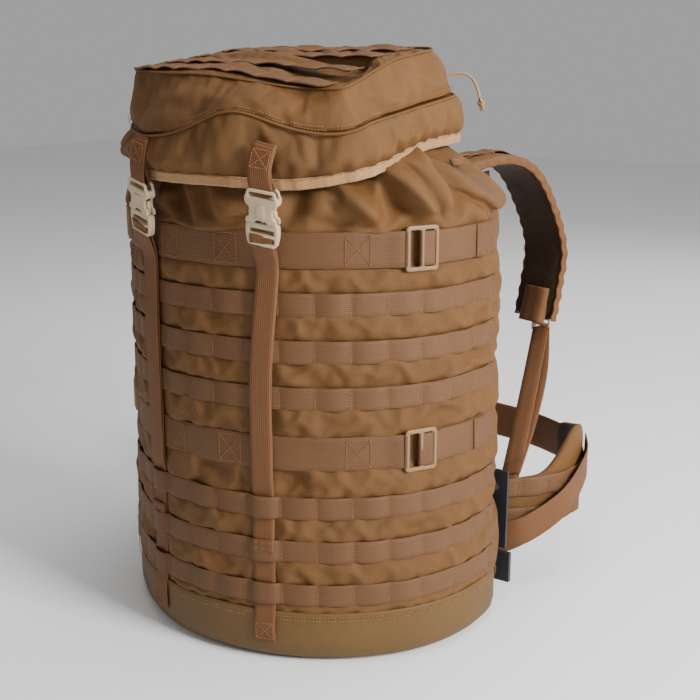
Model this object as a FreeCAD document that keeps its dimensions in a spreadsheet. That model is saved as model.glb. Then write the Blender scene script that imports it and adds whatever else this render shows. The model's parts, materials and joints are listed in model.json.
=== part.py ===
import FreeCAD, Part
import Sketcher
import math
import os

# Hunting backpack: a soft bag on a stiff back, a hinged top lid, compression webbing, a padded
# harness and a padded hip belt.
# Frame: +X is the side called right here, -Y is the front, +Y the wearer's side, +Z up.
# The origin is on the ground under the middle of the bag. Lengths in millimetres, angles in degrees.

Vector = FreeCAD.Vector
Rotation = FreeCAD.Rotation
Placement = FreeCAD.Placement

X_AXIS = Vector(1, 0, 0)
Y_AXIS = Vector(0, 1, 0)
Z_AXIS = Vector(0, 0, 1)
SIDES = (("right", 1), ("left", -1))

doc = FreeCAD.newDocument("HuntingBackpack")

# ---------------------------------------------------------------- driving dimensions

DRIVING = {
    # bag
    "bag_half_width": 232,
    "bag_front": 140,
    "bag_back": 140,
    "side_flat": 21.8,
    "seam_angle": 48,
    "back_corner": 55,
    "fabric_wall": 3,
    "bag_height": 490,
    "collar_rise": 76,
    "collar_half_width": 150,
    "collar_front": 116,
    "collar_back": 116,
    "collar_corner": 45,
    "base_height": 62,
    "base_wall": 2,
    # webbing on the bag
    "layer_gap": 0.4,
    "webbing_thick": 1.6,
    "webbing_width": 25,
    "row_pitch": 50,
    "lower_rows": 70.4,
    "upper_rows": 292,
    "row_lap": 8.9,
    "band_width": 38,
    "lower_band": 225,
    "upper_band_drop": 48,
    "lock_reach": 245,
    "strap_reach": 76,
    # ladder locks
    "lock_length": 38,
    "lock_thick": 4.5,
    "lock_bar": 5,
    "lock_edge": 4,
    "lock_clearance": 0.8,
    # lid
    "hinge_inset": 12,
    "hinge_rise": 69,
    "lid_tilt": 6.9,
    "lid_margin": 23,
    "lid_overhang": 10,
    "lid_skirt": 50,
    "lid_pocket": 52,
    "hem_width": 12,
    "lid_row_pitch": 50,
    # side-release buckles on the lid
    "webbing_slack": 2,
    "buckle_edge": 4.5,
    "buckle_thick": 12,
    "buckle_tilt": 12.4,
    "buckle_turn": 12,
    "buckle_rise": 3,
    "buckle_standoff": 6,
    "buckle_spread": 86,
    "socket_length": 36,
    "socket_wall": 1.5,
    "socket_side": 3,
    "prong_length": 15,
    "prong_width": 5,
    "prong_thick": 3,
    "guide_width": 4,
    "plug_length": 26,
    "plug_thick": 9,
    "slot_height": 5,
    "slot_pitch": 9,
    "tab_length": 42,
    # zip
    "zip_inset": 33,
    "zip_width": 14,
    "zip_rise": 16,
    "slider_length": 9,
    "slider_thick": 4,
    "slider_tab": 10,
    "cord_diameter": 3,
    "knot_radius": 4,
    "knot_length": 14,
    # back structure
    "sheet_thick": 2,
    "sheet_half_width": 150,
    "sheet_margin": 10,
    "stay_width": 25,
    "stay_thick": 3,
    "stay_offset": 70,
    "stay_bottom": 25,
    "stay_margin": 15,
    "plate_bottom": 66,
    "plate_height": 100,
    "plate_thick": 4,
    "bar_overhang": 6,
    "bar_bottom": 22,
    "bar_height": 38,
    "rivet_radius": 5,
    "rivet_inset": 16,
    "rivet_rise": 22,
    "rivet_fit": 0.3,
    "back_pad_thick": 15,
    "back_pad_half_width": 140,
    "back_pad_bottom": 185,
    "back_pad_margin": 10,
    "lumbar_pad_half_width": 96,
    "lumbar_pad_thick": 21,
    # shoulder harness
    "pad_root_drop": 20,
    "pad_root_spread": 85,
    "pad_width": 68,
    "pad_thick": 14,
    "pad_splay": 17,
    "strap_thick": 1.6,
    "strap_buckle_length": 54,
    "strap_buckle_thick": 9,
    "strap_buckle_lean": 12,
    "sternum_length": 70,
    "sternum_width": 20,
    "sternum_clip_length": 26,
    "sternum_clip_thick": 7,
    # hip belt
    "wing_radius": 112,
    "wing_centre_spread": 154,
    "wing_centre_back": 278,
    "wing_thick": 14,
    "waist_width": 50,
    "waist_low": 108,
    "clasp_gap": 6,
    "clasp_length": 60,
    "clasp_edge": 6,
    "clasp_thick": 12,
    "clasp_wall": 2.5,
    "clasp_slot": 4,
    "clasp_prong_length": 21,
    "clasp_prong_width": 9,
    "clasp_prong_thick": 4,
    "clasp_prong_pitch": 18.5,
    "clasp_mouth_depth": 28,
}

sheet = doc.addObject("Spreadsheet::Sheet", "Sizes")
for row, (alias, number) in enumerate(DRIVING.items(), start=1):
    sheet.set(f"A{row}", alias)
    sheet.set(f"B{row}", str(number))
    sheet.setAlias(f"B{row}", alias)
doc.recompute()


def size(alias):
    """A driving dimension, read from the sheet."""
    return float(sheet.get(alias))


# ---------------------------------------------------------------- document helpers

nodes = []


def node(obj, label):
    """Names a document object as one piece of the backpack."""
    obj.Label = label
    nodes.append(obj)
    return obj


def shaped(label, shape, placement=None):
    """A piece whose shape follows the bag's curves."""
    obj = doc.addObject("Part::Feature", label)
    obj.Shape = shape
    if placement is not None:
        obj.Placement = placement
    return node(obj, label)


def origin_plane(body, role):
    """One of a body's own origin planes."""
    for feature in body.Origin.OriginFeatures:
        if feature.Role == role:
            return feature
    raise ValueError(role)


def new_sketch(body, name, plane):
    sketch = body.newObject("Sketcher::SketchObject", name)
    sketch.AttachmentSupport = [(origin_plane(body, plane), "")]
    sketch.MapMode = "FlatFace"
    return sketch


def constrain(sketch, kind, ends, expression):
    """A dimension of a sketch, bound to an expression on the sheet."""
    index = sketch.addConstraint(Sketcher.Constraint(kind, *ends, 10.0))
    sketch.setExpression(f"Constraints[{index}]", expression)


def rectangle(body, name, plane, left, low, wide, tall):
    """A sketch of one rectangle; its corner and sides are expressions on the sheet."""
    sketch = new_sketch(body, name, plane)
    corners = [Vector(0, 0, 0), Vector(10, 0, 0), Vector(10, 10, 0), Vector(0, 10, 0)]
    for first in range(4):
        sketch.addGeometry(Part.LineSegment(corners[first], corners[(first + 1) % 4]), False)
    for first in range(4):
        sketch.addConstraint(Sketcher.Constraint("Coincident", first, 2, (first + 1) % 4, 1))
    for first, kind in enumerate(("Horizontal", "Vertical", "Horizontal", "Vertical")):
        sketch.addConstraint(Sketcher.Constraint(kind, first))
    constrain(sketch, "DistanceX", (0, 1, 0, 2), wide)
    constrain(sketch, "DistanceY", (1, 1, 1, 2), tall)
    constrain(sketch, "DistanceX", (-1, 1, 0, 1), left)
    constrain(sketch, "DistanceY", (-1, 1, 0, 1), low)
    return sketch


def disc(body, name, plane, across, up, radius):
    """A sketch of one circle; its centre and radius are expressions on the sheet."""
    sketch = new_sketch(body, name, plane)
    sketch.addGeometry(Part.Circle(Vector(10, 10, 0), Z_AXIS, 5), False)
    constrain(sketch, "Radius", (0,), radius)
    constrain(sketch, "DistanceX", (-1, 1, 0, 3), across)
    constrain(sketch, "DistanceY", (-1, 1, 0, 3), up)
    return sketch


def pad(body, sketch, length, reversed_side=False):
    feature = body.newObject("PartDesign::Pad", f"{sketch.Name}Pad")
    feature.Profile = sketch
    feature.Reversed = reversed_side
    feature.setExpression("Length", length)
    return feature


def pocket(body, sketch, length, reversed_side=False):
    """A pocket; it has to take material away."""
    doc.recompute()
    before = body.Shape.Volume
    feature = body.newObject("PartDesign::Pocket", f"{sketch.Name}Pocket")
    feature.Profile = sketch
    feature.Reversed = reversed_side
    feature.setExpression("Length", length)
    doc.recompute()
    if body.Shape.Volume >= before - 1e-6:
        raise RuntimeError(f"{sketch.Name} cuts nothing")
    return feature


def new_body(label):
    return doc.addObject("PartDesign::Body", label)


# ---------------------------------------------------------------- outline of the bag

class Outline:
    """Plan of the bag: front arc, side arc, straight side, back corner, flat back.

    The right half is described from the middle of the front to the middle of the back, and
    each stretch runs into the next one tangentially. The left half is its mirror image.
    """

    def __init__(self, half_width, front, back, radius, angle, corner):
        self.half_width = half_width
        self.front = front
        self.back = back
        self.radius = radius
        self.angle = angle
        self.corner = corner
        turn = math.radians(angle)
        seam_x = radius * math.sin(turn)
        seam_y = front + radius * (1 - math.cos(turn))
        side_radius = (half_width - seam_x) / (1 - math.sin(turn))
        side_x = half_width - side_radius
        side_y = seam_y + side_radius * math.cos(turn)
        self.stretches = (
            ("arc", (0, front + radius), radius, -90, angle - 90),
            ("arc", (side_x, side_y), side_radius, angle - 90, 0),
            ("line", (half_width, side_y), (half_width, back - corner)),
            ("arc", (half_width - corner, back - corner), corner, 0, 90),
            ("line", (half_width - corner, back), (0, back)),
        )

    def offset(self, distance):
        return Outline(
            self.half_width + distance,
            self.front - distance,
            self.back + distance,
            self.radius + distance,
            self.angle,
            self.corner + distance,
        )

    def length(self, index):
        stretch = self.stretches[index]
        if stretch[0] == "arc":
            return stretch[2] * math.radians(stretch[4] - stretch[3])
        (x0, y0), (x1, y1) = stretch[1:]
        return math.hypot(x1 - x0, y1 - y0)

    def locate(self, run):
        """The stretch that a run from the middle of the front ends in, and how far along it."""
        left = abs(run)
        last = len(self.stretches) - 1
        for index in range(last + 1):
            length = self.length(index)
            if left <= length or index == last:
                return index, min(left / length, 1.0)
            left -= length

    def at(self, index, share, side, z):
        stretch = self.stretches[index]
        if stretch[0] == "arc":
            (x, y), radius, first, final = stretch[1:]
            angle = math.radians(first + (final - first) * share)
            return Vector(side * (x + radius * math.cos(angle)), y + radius * math.sin(angle), z)
        (x0, y0), (x1, y1) = stretch[1:]
        return Vector(side * (x0 + (x1 - x0) * share), y0 + (y1 - y0) * share, z)

    def half_edges(self, side, first, final, z):
        """Edges of one half from run first to run final, both positive and rising."""
        start, start_share = REFERENCE.locate(first)
        end, end_share = REFERENCE.locate(final)
        edges = []
        for index in range(start, end + 1):
            low = start_share if index == start else 0.0
            high = end_share if index == end else 1.0
            if high - low < 1e-6:
                continue
            one = self.at(index, low, side, z)
            two = self.at(index, high, side, z)
            if self.stretches[index][0] == "arc":
                middle = self.at(index, (low + high) / 2, side, z)
                edges.append(Part.Arc(one, middle, two).toShape())
            else:
                edges.append(Part.LineSegment(one, two).toShape())
        return edges

    def edges(self, first, final, z):
        """Edges from run first to run final; negative runs are on the left half."""
        if first >= 0:
            return self.half_edges(1, first, final, z)
        if final <= 0:
            return self.half_edges(-1, -final, -first, z)
        return self.half_edges(-1, 0, -first, z) + self.half_edges(1, 0, final, z)

    def point(self, run, z):
        index, share = REFERENCE.locate(run)
        return self.at(index, share, 1 if run >= 0 else -1, z)

    def loop(self, z):
        """The whole outline as one closed wire."""
        edges = []
        for side in (-1, 1):
            for index in range(len(self.stretches)):
                one = self.at(index, 0, side, z)
                two = self.at(index, 1, side, z)
                if self.stretches[index][0] == "arc":
                    middle = self.at(index, 0.5, side, z)
                    edges.append(Part.Arc(one, middle, two).toShape())
                else:
                    edges.append(Part.LineSegment(one, two).toShape())
        return Part.Wire(Part.__sortEdges__(edges))


# The front arc, the side arc and the straight side fill the plan's width and depth between them.
TURN = math.radians(size("seam_angle"))
ARC_DEPTH = size("bag_front") + size("bag_back") - size("back_corner") - size("side_flat")
SIDE_RADIUS = (ARC_DEPTH - size("bag_half_width") * math.tan(TURN / 2)) / (
    math.cos(TURN) - (1 - math.sin(TURN)) * math.tan(TURN / 2)
)
FRONT_RADIUS = SIDE_RADIUS + (size("bag_half_width") - SIDE_RADIUS) / math.sin(TURN)
REFERENCE = Outline(
    size("bag_half_width"),
    -size("bag_front"),
    size("bag_back"),
    FRONT_RADIUS,
    size("seam_angle"),
    size("back_corner"),
)

# The rows and the side straps end a little way round the back corner.
ROW_REACH = sum(REFERENCE.length(index) for index in range(3)) + size("row_lap")

# Heights of the lower edges of the two wide bands.
BAND_LOWS = {
    "lower": size("lower_band"),
    "upper": size("bag_height") - size("upper_band_drop"),
}

# The bag is a little wider low down. Each level is a height and the share of the reference plan.
LEVEL_CLEARANCE = 13
LEVELS = (
    (0, 1.035),
    (size("base_height"), 1.029),
    (size("lower_band") - LEVEL_CLEARANCE, 1.005),
    (size("lower_band") + size("band_width") + LEVEL_CLEARANCE, 0.9975),
    (BAND_LOWS["upper"] - LEVEL_CLEARANCE, 0.989),
    (size("bag_height"), 0.989),
)


def scaled_outline(share):
    return Outline(
        size("bag_half_width") * share,
        -size("bag_front") * share,
        size("bag_back"),
        FRONT_RADIUS * share,
        size("seam_angle"),
        size("back_corner") * share,
    )


def bag_outline(z):
    """Plan of the bag at a height, straight between two levels."""
    for (low, low_share), (high, high_share) in zip(LEVELS, LEVELS[1:]):
        if z <= high:
            return scaled_outline(low_share + (high_share - low_share) * (z - low) / (high - low))
    return scaled_outline(LEVELS[-1][1])


def collar_outline(share):
    """Plan above the bag's shoulder: share 0 is the shoulder, 1 the collar's rim."""
    top = LEVELS[-1][1]
    low = scaled_outline(top)

    def between(one, two):
        return one + (two - one) * share

    return Outline(
        between(low.half_width, size("collar_half_width")),
        between(low.front, -size("collar_front")),
        between(low.back, size("collar_back")),
        between(low.radius, size("collar_half_width") * 1.1),
        size("seam_angle"),
        between(low.corner, size("collar_corner")),
    )


def loft(wires):
    """A solid with straight sides between planar loops."""
    return Part.makeLoft(wires, True, True)


def strip(low, high, offset, thick, first, final):
    """Webbing that lies on the bag between two heights and two runs."""
    wires = []
    for z in (low, high):
        inner = bag_outline(z).offset(offset)
        outer = inner.offset(thick)
        edges = inner.edges(first, final, z) + outer.edges(first, final, z)
        for run in (first, final):
            edges.append(Part.LineSegment(inner.point(run, z), outer.point(run, z)).toShape())
        wires.append(Part.Wire(Part.__sortEdges__(edges)))
    return loft(wires)


def ribbon(route, bends, thick, width):
    """A strip along a planar route in X and Y with tangent arcs, thick in the plane, wide in Z."""
    edges = []
    start = Vector(*route[0], 0)
    for index in range(1, len(route) - 1):
        before = Vector(*route[index - 1], 0)
        corner = Vector(*route[index], 0)
        after = Vector(*route[index + 1], 0)
        back = (before - corner).normalize()
        ahead = (after - corner).normalize()
        half = back.getAngle(ahead) / 2
        radius = bends[index - 1]
        tangent = radius / math.tan(half)
        entry = corner + back * tangent
        leave = corner + ahead * tangent
        centre = corner + (back + ahead).normalize() * (radius / math.sin(half))
        middle = centre + (corner - centre).normalize() * radius
        edges.append(Part.LineSegment(start, entry).toShape())
        edges.append(Part.Arc(entry, middle, leave).toShape())
        start = leave
    edges.append(Part.LineSegment(start, Vector(*route[-1], 0)).toShape())
    face = Part.Wire(edges).makeOffset2D(thick, 0, True, True)
    solid = face.extrude(Vector(0, 0, width))
    return solid if solid.isValid() else solid.removeSplitter()


# ---------------------------------------------------------------- the bag

FLOOR_GAP = 0.3
# How the bag narrows to its collar: share of the way in, and share of the way up.
SHOULDER = ((0.45, 24 / 76), (0.8, 48 / 76), (1.0, 1.0))

# How the bottom edge is rounded: height above the bottom, and how far the wall is drawn in.
BOTTOM_ROUND = ((0, 18), (5, 8), (14, 2), (26, 0))


def bottom_loops(offset, bottom):
    return [
        bag_outline(bottom + rise).offset(offset - inset).loop(bottom + rise)
        for rise, inset in BOTTOM_ROUND
    ]


def bag_loops(offset, bottom):
    loops = bottom_loops(offset, bottom)
    for z, share in LEVELS[1:]:
        loops.append(scaled_outline(share).offset(offset).loop(z))
    for share, rise in SHOULDER:
        z = size("bag_height") + rise * size("collar_rise")
        loops.append(collar_outline(share).offset(offset).loop(z))
    return loops


def make_bag():
    bottom = size("base_wall") + FLOOR_GAP
    wall = size("fabric_wall")
    outside = loft(bag_loops(0, bottom))
    inside = loft(bag_loops(-wall, bottom + wall))
    shaped("main_bag", outside.cut(inside))


def make_base():
    gap = size("layer_gap")
    wall = size("base_wall")
    top = size("base_height")

    def filled(offset, low):
        return loft(bottom_loops(offset, low) + [bag_outline(top).offset(offset).loop(top)])

    shaped("base_panel", filled(gap + wall, 0).cut(filled(gap, wall)))


def make_rows():
    reach = ROW_REACH
    for group, first in (("lower", size("lower_rows")), ("upper", size("upper_rows"))):
        strips = []
        for number in range(3):
            low = first + number * size("row_pitch")
            high = low + size("webbing_width")
            strips.append(strip(low, high, size("layer_gap"), size("webbing_thick"), -reach, reach))
        shaped(f"webbing_rows_{group}", Part.makeCompound(strips))


LOCK_LAP = 12


def make_bands():
    """The wide bands across the front and the straps that pull them back from the locks."""
    reach = size("lock_reach") - LOCK_LAP
    for name, low in BAND_LOWS.items():
        high = low + size("band_width")
        layer = (size("layer_gap"), size("webbing_thick"))
        shaped(f"{name}_band", strip(low, high, *layer, -reach, reach))
        for side_name, side in SIDES:
            ends = sorted((side * (reach + 1), side * ROW_REACH))
            shaped(f"{name}_strap_{side_name}", strip(low, high, *layer, *ends))


def surface_placement(run, z, offset):
    """A frame on the bag: local x along the outline away from the middle, local z up."""
    outline = bag_outline(z).offset(offset)
    here = outline.point(run, z)
    side = 1 if run >= 0 else -1
    ahead = outline.point(run + side * 0.5, z)
    along = (ahead - here).normalize()
    angle = math.degrees(math.atan2(along.y, along.x))
    if side < 0:
        angle += 180
    return Placement(here, Rotation(Z_AXIS, angle))


def lock_offset():
    """How far a lock's back stands off the bag: over the band's end."""
    return size("layer_gap") + size("webbing_thick") + size("lock_clearance")


def make_lock(label, run, z):
    """A ladder lock: a frame with two slots, drawn on the body's XZ plane."""
    body = new_body(label)
    half_length = "-Sizes.lock_length / 2"
    height = "(Sizes.band_width + 1 + 2 * Sizes.lock_edge)"
    frame = rectangle(body, f"{label}_frame", "XZ_Plane", half_length, f"-{height} / 2",
                      "Sizes.lock_length", height)
    pad(body, frame, "Sizes.lock_thick")
    slot_wide = "(Sizes.lock_length - 3 * Sizes.lock_bar) / 2"
    slot_tall = "Sizes.band_width + 1"
    slot_low = f"-({slot_tall}) / 2"
    for number in range(2):
        left = f"-Sizes.lock_length / 2 + Sizes.lock_bar + {number} * ({slot_wide} + Sizes.lock_bar)"
        slot = rectangle(body, f"{label}_slot{number}", "XZ_Plane", left, slot_low, slot_wide, slot_tall)
        pocket(body, slot, "Sizes.lock_thick", True)
    doc.recompute()
    body.Placement = surface_placement(run, z, lock_offset())
    node(body, label)


def make_locks():
    for name, low in BAND_LOWS.items():
        middle = low + size("band_width") / 2
        for side_name, side in SIDES:
            make_lock(f"{name}_lock_{side_name}", side * size("lock_reach"), middle)


ANCHOR_BOTTOM = 28
ANCHOR_TOP = BAND_LOWS["upper"] - 2
TAIL_BOTTOM = 130
TAIL_TOP = BAND_LOWS["upper"] - 4


def make_front_straps():
    """Two webbings down the front: the ply sewn to the base, and the buckle's loose tail on it."""
    half = size("webbing_width") / 2
    first_layer = 2 * size("layer_gap") + size("base_wall")
    second_layer = first_layer + size("webbing_thick") + size("layer_gap")
    plies = (
        ("front_strap", ANCHOR_BOTTOM, ANCHOR_TOP, first_layer),
        ("strap_tail", TAIL_BOTTOM, TAIL_TOP, second_layer),
    )
    for name, low, high, offset in plies:
        for side_name, side in SIDES:
            middle = side * size("strap_reach")
            heights = [low] + [z for z, share in LEVELS if low < z < high] + [high]
            parts = []
            for one, two in zip(heights, heights[1:]):
                parts.append(
                    strip(one, two, offset, size("webbing_thick"), middle - half, middle + half)
                )
            solid = parts[0].fuse(parts[1:]) if len(parts) > 1 else parts[0]
            shaped(f"{name}_{side_name}", solid)


# ---------------------------------------------------------------- the lid

HINGE = Vector(0, size("bag_back") - size("hinge_inset"), size("bag_height") + size("hinge_rise"))
LID_PLACE = Placement(HINGE, Rotation(X_AXIS, size("lid_tilt")))
LID_DEPTH = HINGE.y + size("bag_front") + size("lid_overhang")
LID_HALF_WIDTH = size("collar_half_width") + size("lid_margin")


def lid_outline(widen, lengthen, radius, angle, corner=30, back=0):
    """Plan of the lid in its own frame, whose y is 0 at the hinge and negative to the front."""
    return Outline(
        LID_HALF_WIDTH + widen, -LID_DEPTH - lengthen, back, radius, angle, corner
    )


def skirt_outlines():
    top = size("lid_skirt")
    return (
        (0, lid_outline(0, 0, 250, 40)),
        (top / 2, lid_outline(7, 6, 258, 40)),
        (top, lid_outline(0, 0, 270, 36)),
    )


def make_lid_skirt():
    wall = size("fabric_wall")
    outside = loft([outline.loop(z) for z, outline in skirt_outlines()])
    inside = loft([outline.offset(-wall).loop(z) for z, outline in skirt_outlines()])
    shaped("lid_skirt", outside.cut(inside), LID_PLACE)


def make_hem():
    """The elastic binding round the skirt's lower edge."""
    gap = size("layer_gap")
    (low_z, low), (high_z, high) = skirt_outlines()[:2]
    share = size("hem_width") / (high_z - low_z)
    top = lid_outline(7 * share, 6 * share, 250 + 8 * share, 40)
    loops = {}
    for name, offset in (("inner", gap), ("outer", gap + size("webbing_thick"))):
        loops[name] = loft([
            low.offset(offset).loop(low_z), top.offset(offset).loop(size("hem_width"))
        ])
    shaped("hem_binding", loops["outer"].cut(loops["inner"]), LID_PLACE)


POCKET_GAP = 0.3


def make_lid_pocket():
    low = size("lid_skirt") + POCKET_GAP
    high = low + size("lid_pocket")
    loops = (
        (low, lid_outline(-5, -1, 300, 30, 30, -6)),
        (low + (high - low) * 0.5, lid_outline(-8, -10, 450, 19, 30, -8)),
        (high, lid_outline(-24, -44, 500, 17, 30, -20)),
    )
    shaped("lid_pocket", loft([outline.loop(z) for z, outline in loops]), LID_PLACE)


LID_ROW_INSET = 40
LID_ROW_FRONT = 54


def make_lid_rows():
    """Webbing rows across the lid's top, as one piece of four separate strips."""
    top = size("lid_skirt") + 2 * POCKET_GAP + size("lid_pocket")
    length = 2 * (LID_HALF_WIDTH - LID_ROW_INSET)
    strips = []
    for number in range(4):
        front = -LID_DEPTH + LID_ROW_FRONT + number * size("lid_row_pitch")
        corner = Vector(-length / 2, front, top)
        strips.append(Part.makeBox(length, size("webbing_width"), size("webbing_thick"), corner))
    shaped("lid_webbing_rows", Part.makeCompound(strips), LID_PLACE)


ZIP_HEIGHT = size("lid_skirt") + size("zip_rise")
ZIP_BACK = -6
ZIP_GAP = 0.3


def make_zip():
    """The zip's tape across the lid's back, and its slider with a pull tab."""
    half_length = LID_HALF_WIDTH - size("zip_inset")
    tape = doc.addObject("Part::Box", "zip_track")
    tape.setExpression("Length", "2 * (Sizes.collar_half_width + Sizes.lid_margin - Sizes.zip_inset)")
    tape.setExpression("Width", "Sizes.webbing_thick")
    tape.setExpression("Height", "Sizes.zip_width")
    corner = Vector(-half_length, ZIP_BACK, ZIP_HEIGHT)
    tape.Placement = LID_PLACE.multiply(Placement(corner, Rotation()))
    node(tape, "zip_track")
    slider = doc.addObject("Part::Box", "zip_slider_block")
    slider.setExpression("Length", "Sizes.slider_length")
    slider.setExpression("Width", "Sizes.slider_thick")
    slider.setExpression("Height", "Sizes.zip_width - 3")
    pull = doc.addObject("Part::Box", "zip_slider_pull")
    pull.setExpression("Length", "Sizes.slider_tab")
    pull.setExpression("Width", "Sizes.slider_thick * 0.4")
    pull.setExpression("Height", "Sizes.zip_width - 8")
    pull_foot = Vector(size("slider_length") - 1, size("slider_thick") * 0.6, 2.5)
    pull.Placement = Placement(pull_foot, Rotation())
    whole = doc.addObject("Part::Fuse", "zip_slider")
    whole.Base = slider
    whole.Tool = pull
    left = half_length - size("slider_length")
    start = Vector(left, ZIP_BACK + size("webbing_thick") + ZIP_GAP, ZIP_HEIGHT + 1.5)
    whole.Placement = LID_PLACE.multiply(Placement(start, Rotation()))
    node(whole, "zip_slider")


# The pull cord's route, from the slider's tab over the lid's back corner to the knot.
CORD_ROUTE = (
    (149.3, 121.5, 629.0),
    (160.0, 125.0, 633.0),
    (173.0, 130.0, 631.5),
    (182.0, 133.5, 621.0),
    (184.5, 136.0, 607.0),
)


def rounded_route(points):
    """Straight runs joined by tangent arcs, as large as the shorter run beside each allows."""
    vectors = [Vector(*point) for point in points]
    edges = []
    start = vectors[0]
    for before, corner, after in zip(vectors, vectors[1:], vectors[2:]):
        back = before - corner
        ahead = after - corner
        half = back.getAngle(ahead) / 2
        trim = 0.45 * min(back.Length, ahead.Length)
        radius = trim * math.tan(half)
        print("cord bend radius", round(radius, 1))
        entry = corner + back.normalize() * trim
        leave = corner + ahead.normalize() * trim
        centre = corner + (back + ahead).normalize() * (radius / math.sin(half))
        middle = centre + (corner - centre).normalize() * radius
        edges.append(Part.LineSegment(start, entry).toShape())
        edges.append(Part.Arc(entry, middle, leave).toShape())
        start = leave
    edges.append(Part.LineSegment(start, vectors[-1]).toShape())
    return Part.Wire(edges)


def make_cord():
    path = rounded_route(CORD_ROUTE)
    start = Vector(*CORD_ROUTE[0])
    direction = Vector(*CORD_ROUTE[1]) - start
    radius = size("cord_diameter") / 2
    profile = Part.Wire([Part.makeCircle(radius, start, direction)])
    tube = path.makePipeShell([profile], True, False)
    expected = math.pi * radius ** 2 * path.Length
    if abs(tube.Volume / expected - 1) > 0.03:
        raise RuntimeError("the pull cord's tube has the wrong volume")
    shaped("zip_cord", tube)
    end = Vector(*CORD_ROUTE[-1])
    fall = (end - Vector(*CORD_ROUTE[-2])).normalize()
    knot = doc.addObject("Part::Cylinder", "zip_knot")
    knot.setExpression("Radius", "Sizes.knot_radius")
    knot.setExpression("Height", "Sizes.knot_length")
    knot.Placement = Placement(end + fall * 0.1, Rotation(Z_AXIS, fall))
    node(knot, "zip_knot")


# ---------------------------------------------------------------- the lid's side-release buckles

def buckle_place(side):
    """Local z runs up through the buckle from the mating plane, local -y faces forward."""
    turn = Rotation(Z_AXIS, side * size("buckle_turn"))
    lean = Rotation(X_AXIS, size("buckle_tilt"))
    origin = Vector(
        side * size("buckle_spread"),
        -size("bag_front") - size("buckle_standoff"),
        size("bag_height") + size("buckle_rise"),
    )
    return Placement(origin, turn.multiply(lean))


BUCKLE_SLOT = "(Sizes.webbing_width + Sizes.webbing_slack)"
BUCKLE_WIDTH = f"({BUCKLE_SLOT} + 2 * Sizes.buckle_edge)"


def make_socket(label, place):
    """The socket half: a box open below, with a webbing slot above."""
    body = new_body(label)
    outer = rectangle(body, f"{label}_outer", "XY_Plane", f"-{BUCKLE_WIDTH} / 2",
                      "-Sizes.buckle_thick / 2", BUCKLE_WIDTH, "Sizes.buckle_thick")
    pad(body, outer, "Sizes.socket_length")
    cavity = rectangle(
        body, f"{label}_cavity", "XY_Plane",
        f"-{BUCKLE_WIDTH} / 2 + Sizes.socket_side", "-Sizes.buckle_thick / 2 + Sizes.socket_wall",
        f"{BUCKLE_WIDTH} - 2 * Sizes.socket_side", "Sizes.buckle_thick - 2 * Sizes.socket_wall",
    )
    pocket(body, cavity, "Sizes.prong_length + 4", True)
    through_slot(body, f"{label}_slot", "Sizes.socket_length - 2 * Sizes.slot_height")
    doc.recompute()
    body.Placement = place
    node(body, label)


def through_slot(body, name, low):
    """A slot for the webbing, cut through a buckle from front to back."""
    slot = rectangle(body, name, "XZ_Plane", f"-{BUCKLE_SLOT} / 2", low, BUCKLE_SLOT,
                     "Sizes.slot_height")
    cut = body.newObject("PartDesign::Pocket", f"{name}_cut")
    cut.Profile = slot
    cut.Type = "ThroughAll"
    cut.Midplane = True


def make_plug(label, place):
    """The plug half: an adjuster body below the mating plane and prongs above it."""
    body = new_body(label)
    block = rectangle(body, f"{label}_block", "XY_Plane", f"-{BUCKLE_WIDTH} / 2",
                      "-Sizes.plug_thick / 2", BUCKLE_WIDTH, "Sizes.plug_thick")
    block.AttachmentOffset = Placement(Vector(0, 0, -0.5), Rotation())
    pad(body, block, "Sizes.plug_length", True)
    prong_reach = f"({BUCKLE_WIDTH} / 2 - Sizes.socket_side - 2)"
    prongs = (
        (f"-{prong_reach}", "Sizes.prong_width"),
        ("-Sizes.guide_width / 2", "Sizes.guide_width"),
        (f"{prong_reach} - Sizes.prong_width", "Sizes.prong_width"),
    )
    for number, (left, wide) in enumerate(prongs):
        prong = rectangle(body, f"{label}_prong{number}", "XY_Plane", left,
                          "-Sizes.prong_thick / 2", wide, "Sizes.prong_thick")
        prong.AttachmentOffset = Placement(Vector(0, 0, -1), Rotation())
        pad(body, prong, "Sizes.prong_length + 1")
    for number in range(2):
        low = f"-Sizes.plug_length + 3 + {number} * Sizes.slot_pitch"
        through_slot(body, f"{label}_slot{number}", low)
    doc.recompute()
    body.Placement = place
    node(body, label)


def make_lid_buckles():
    for side_name, side in SIDES:
        place = buckle_place(side)
        make_socket(f"buckle_socket_{side_name}", place)
        make_plug(f"buckle_plug_{side_name}", place)
        tab = doc.addObject("Part::Box", f"lid_tab_{side_name}")
        tab.setExpression("Length", "Sizes.webbing_width")
        tab.setExpression("Width", "Sizes.webbing_thick")
        tab.setExpression("Height", "Sizes.tab_length")
        above = Vector(-size("webbing_width") / 2, 0, size("socket_length") + 0.5)
        upright = Rotation(Z_AXIS, side * size("buckle_turn"))
        foot = place.multVec(above)
        tab.Placement = Placement(foot, upright)
        node(tab, f"lid_tab_{side_name}")


# ---------------------------------------------------------------- back structure

PLANE_GAP = 0.3
SHEET_Y = size("bag_back") + PLANE_GAP
STAY_Y = SHEET_Y + size("sheet_thick") + PLANE_GAP
PLATE_Y = STAY_Y + size("stay_thick") + PLANE_GAP
PAD_Y = PLATE_Y + size("plate_thick") + PLANE_GAP
SHEET_BOTTOM = size("base_height") + 4
SHEET_HEIGHT = size("bag_height") - size("sheet_margin") - SHEET_BOTTOM
STAY_HEIGHT = size("bag_height") - size("stay_margin") - size("stay_bottom")
BACK_PAD_HEIGHT = size("bag_height") - size("back_pad_margin") - size("back_pad_bottom")


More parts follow.
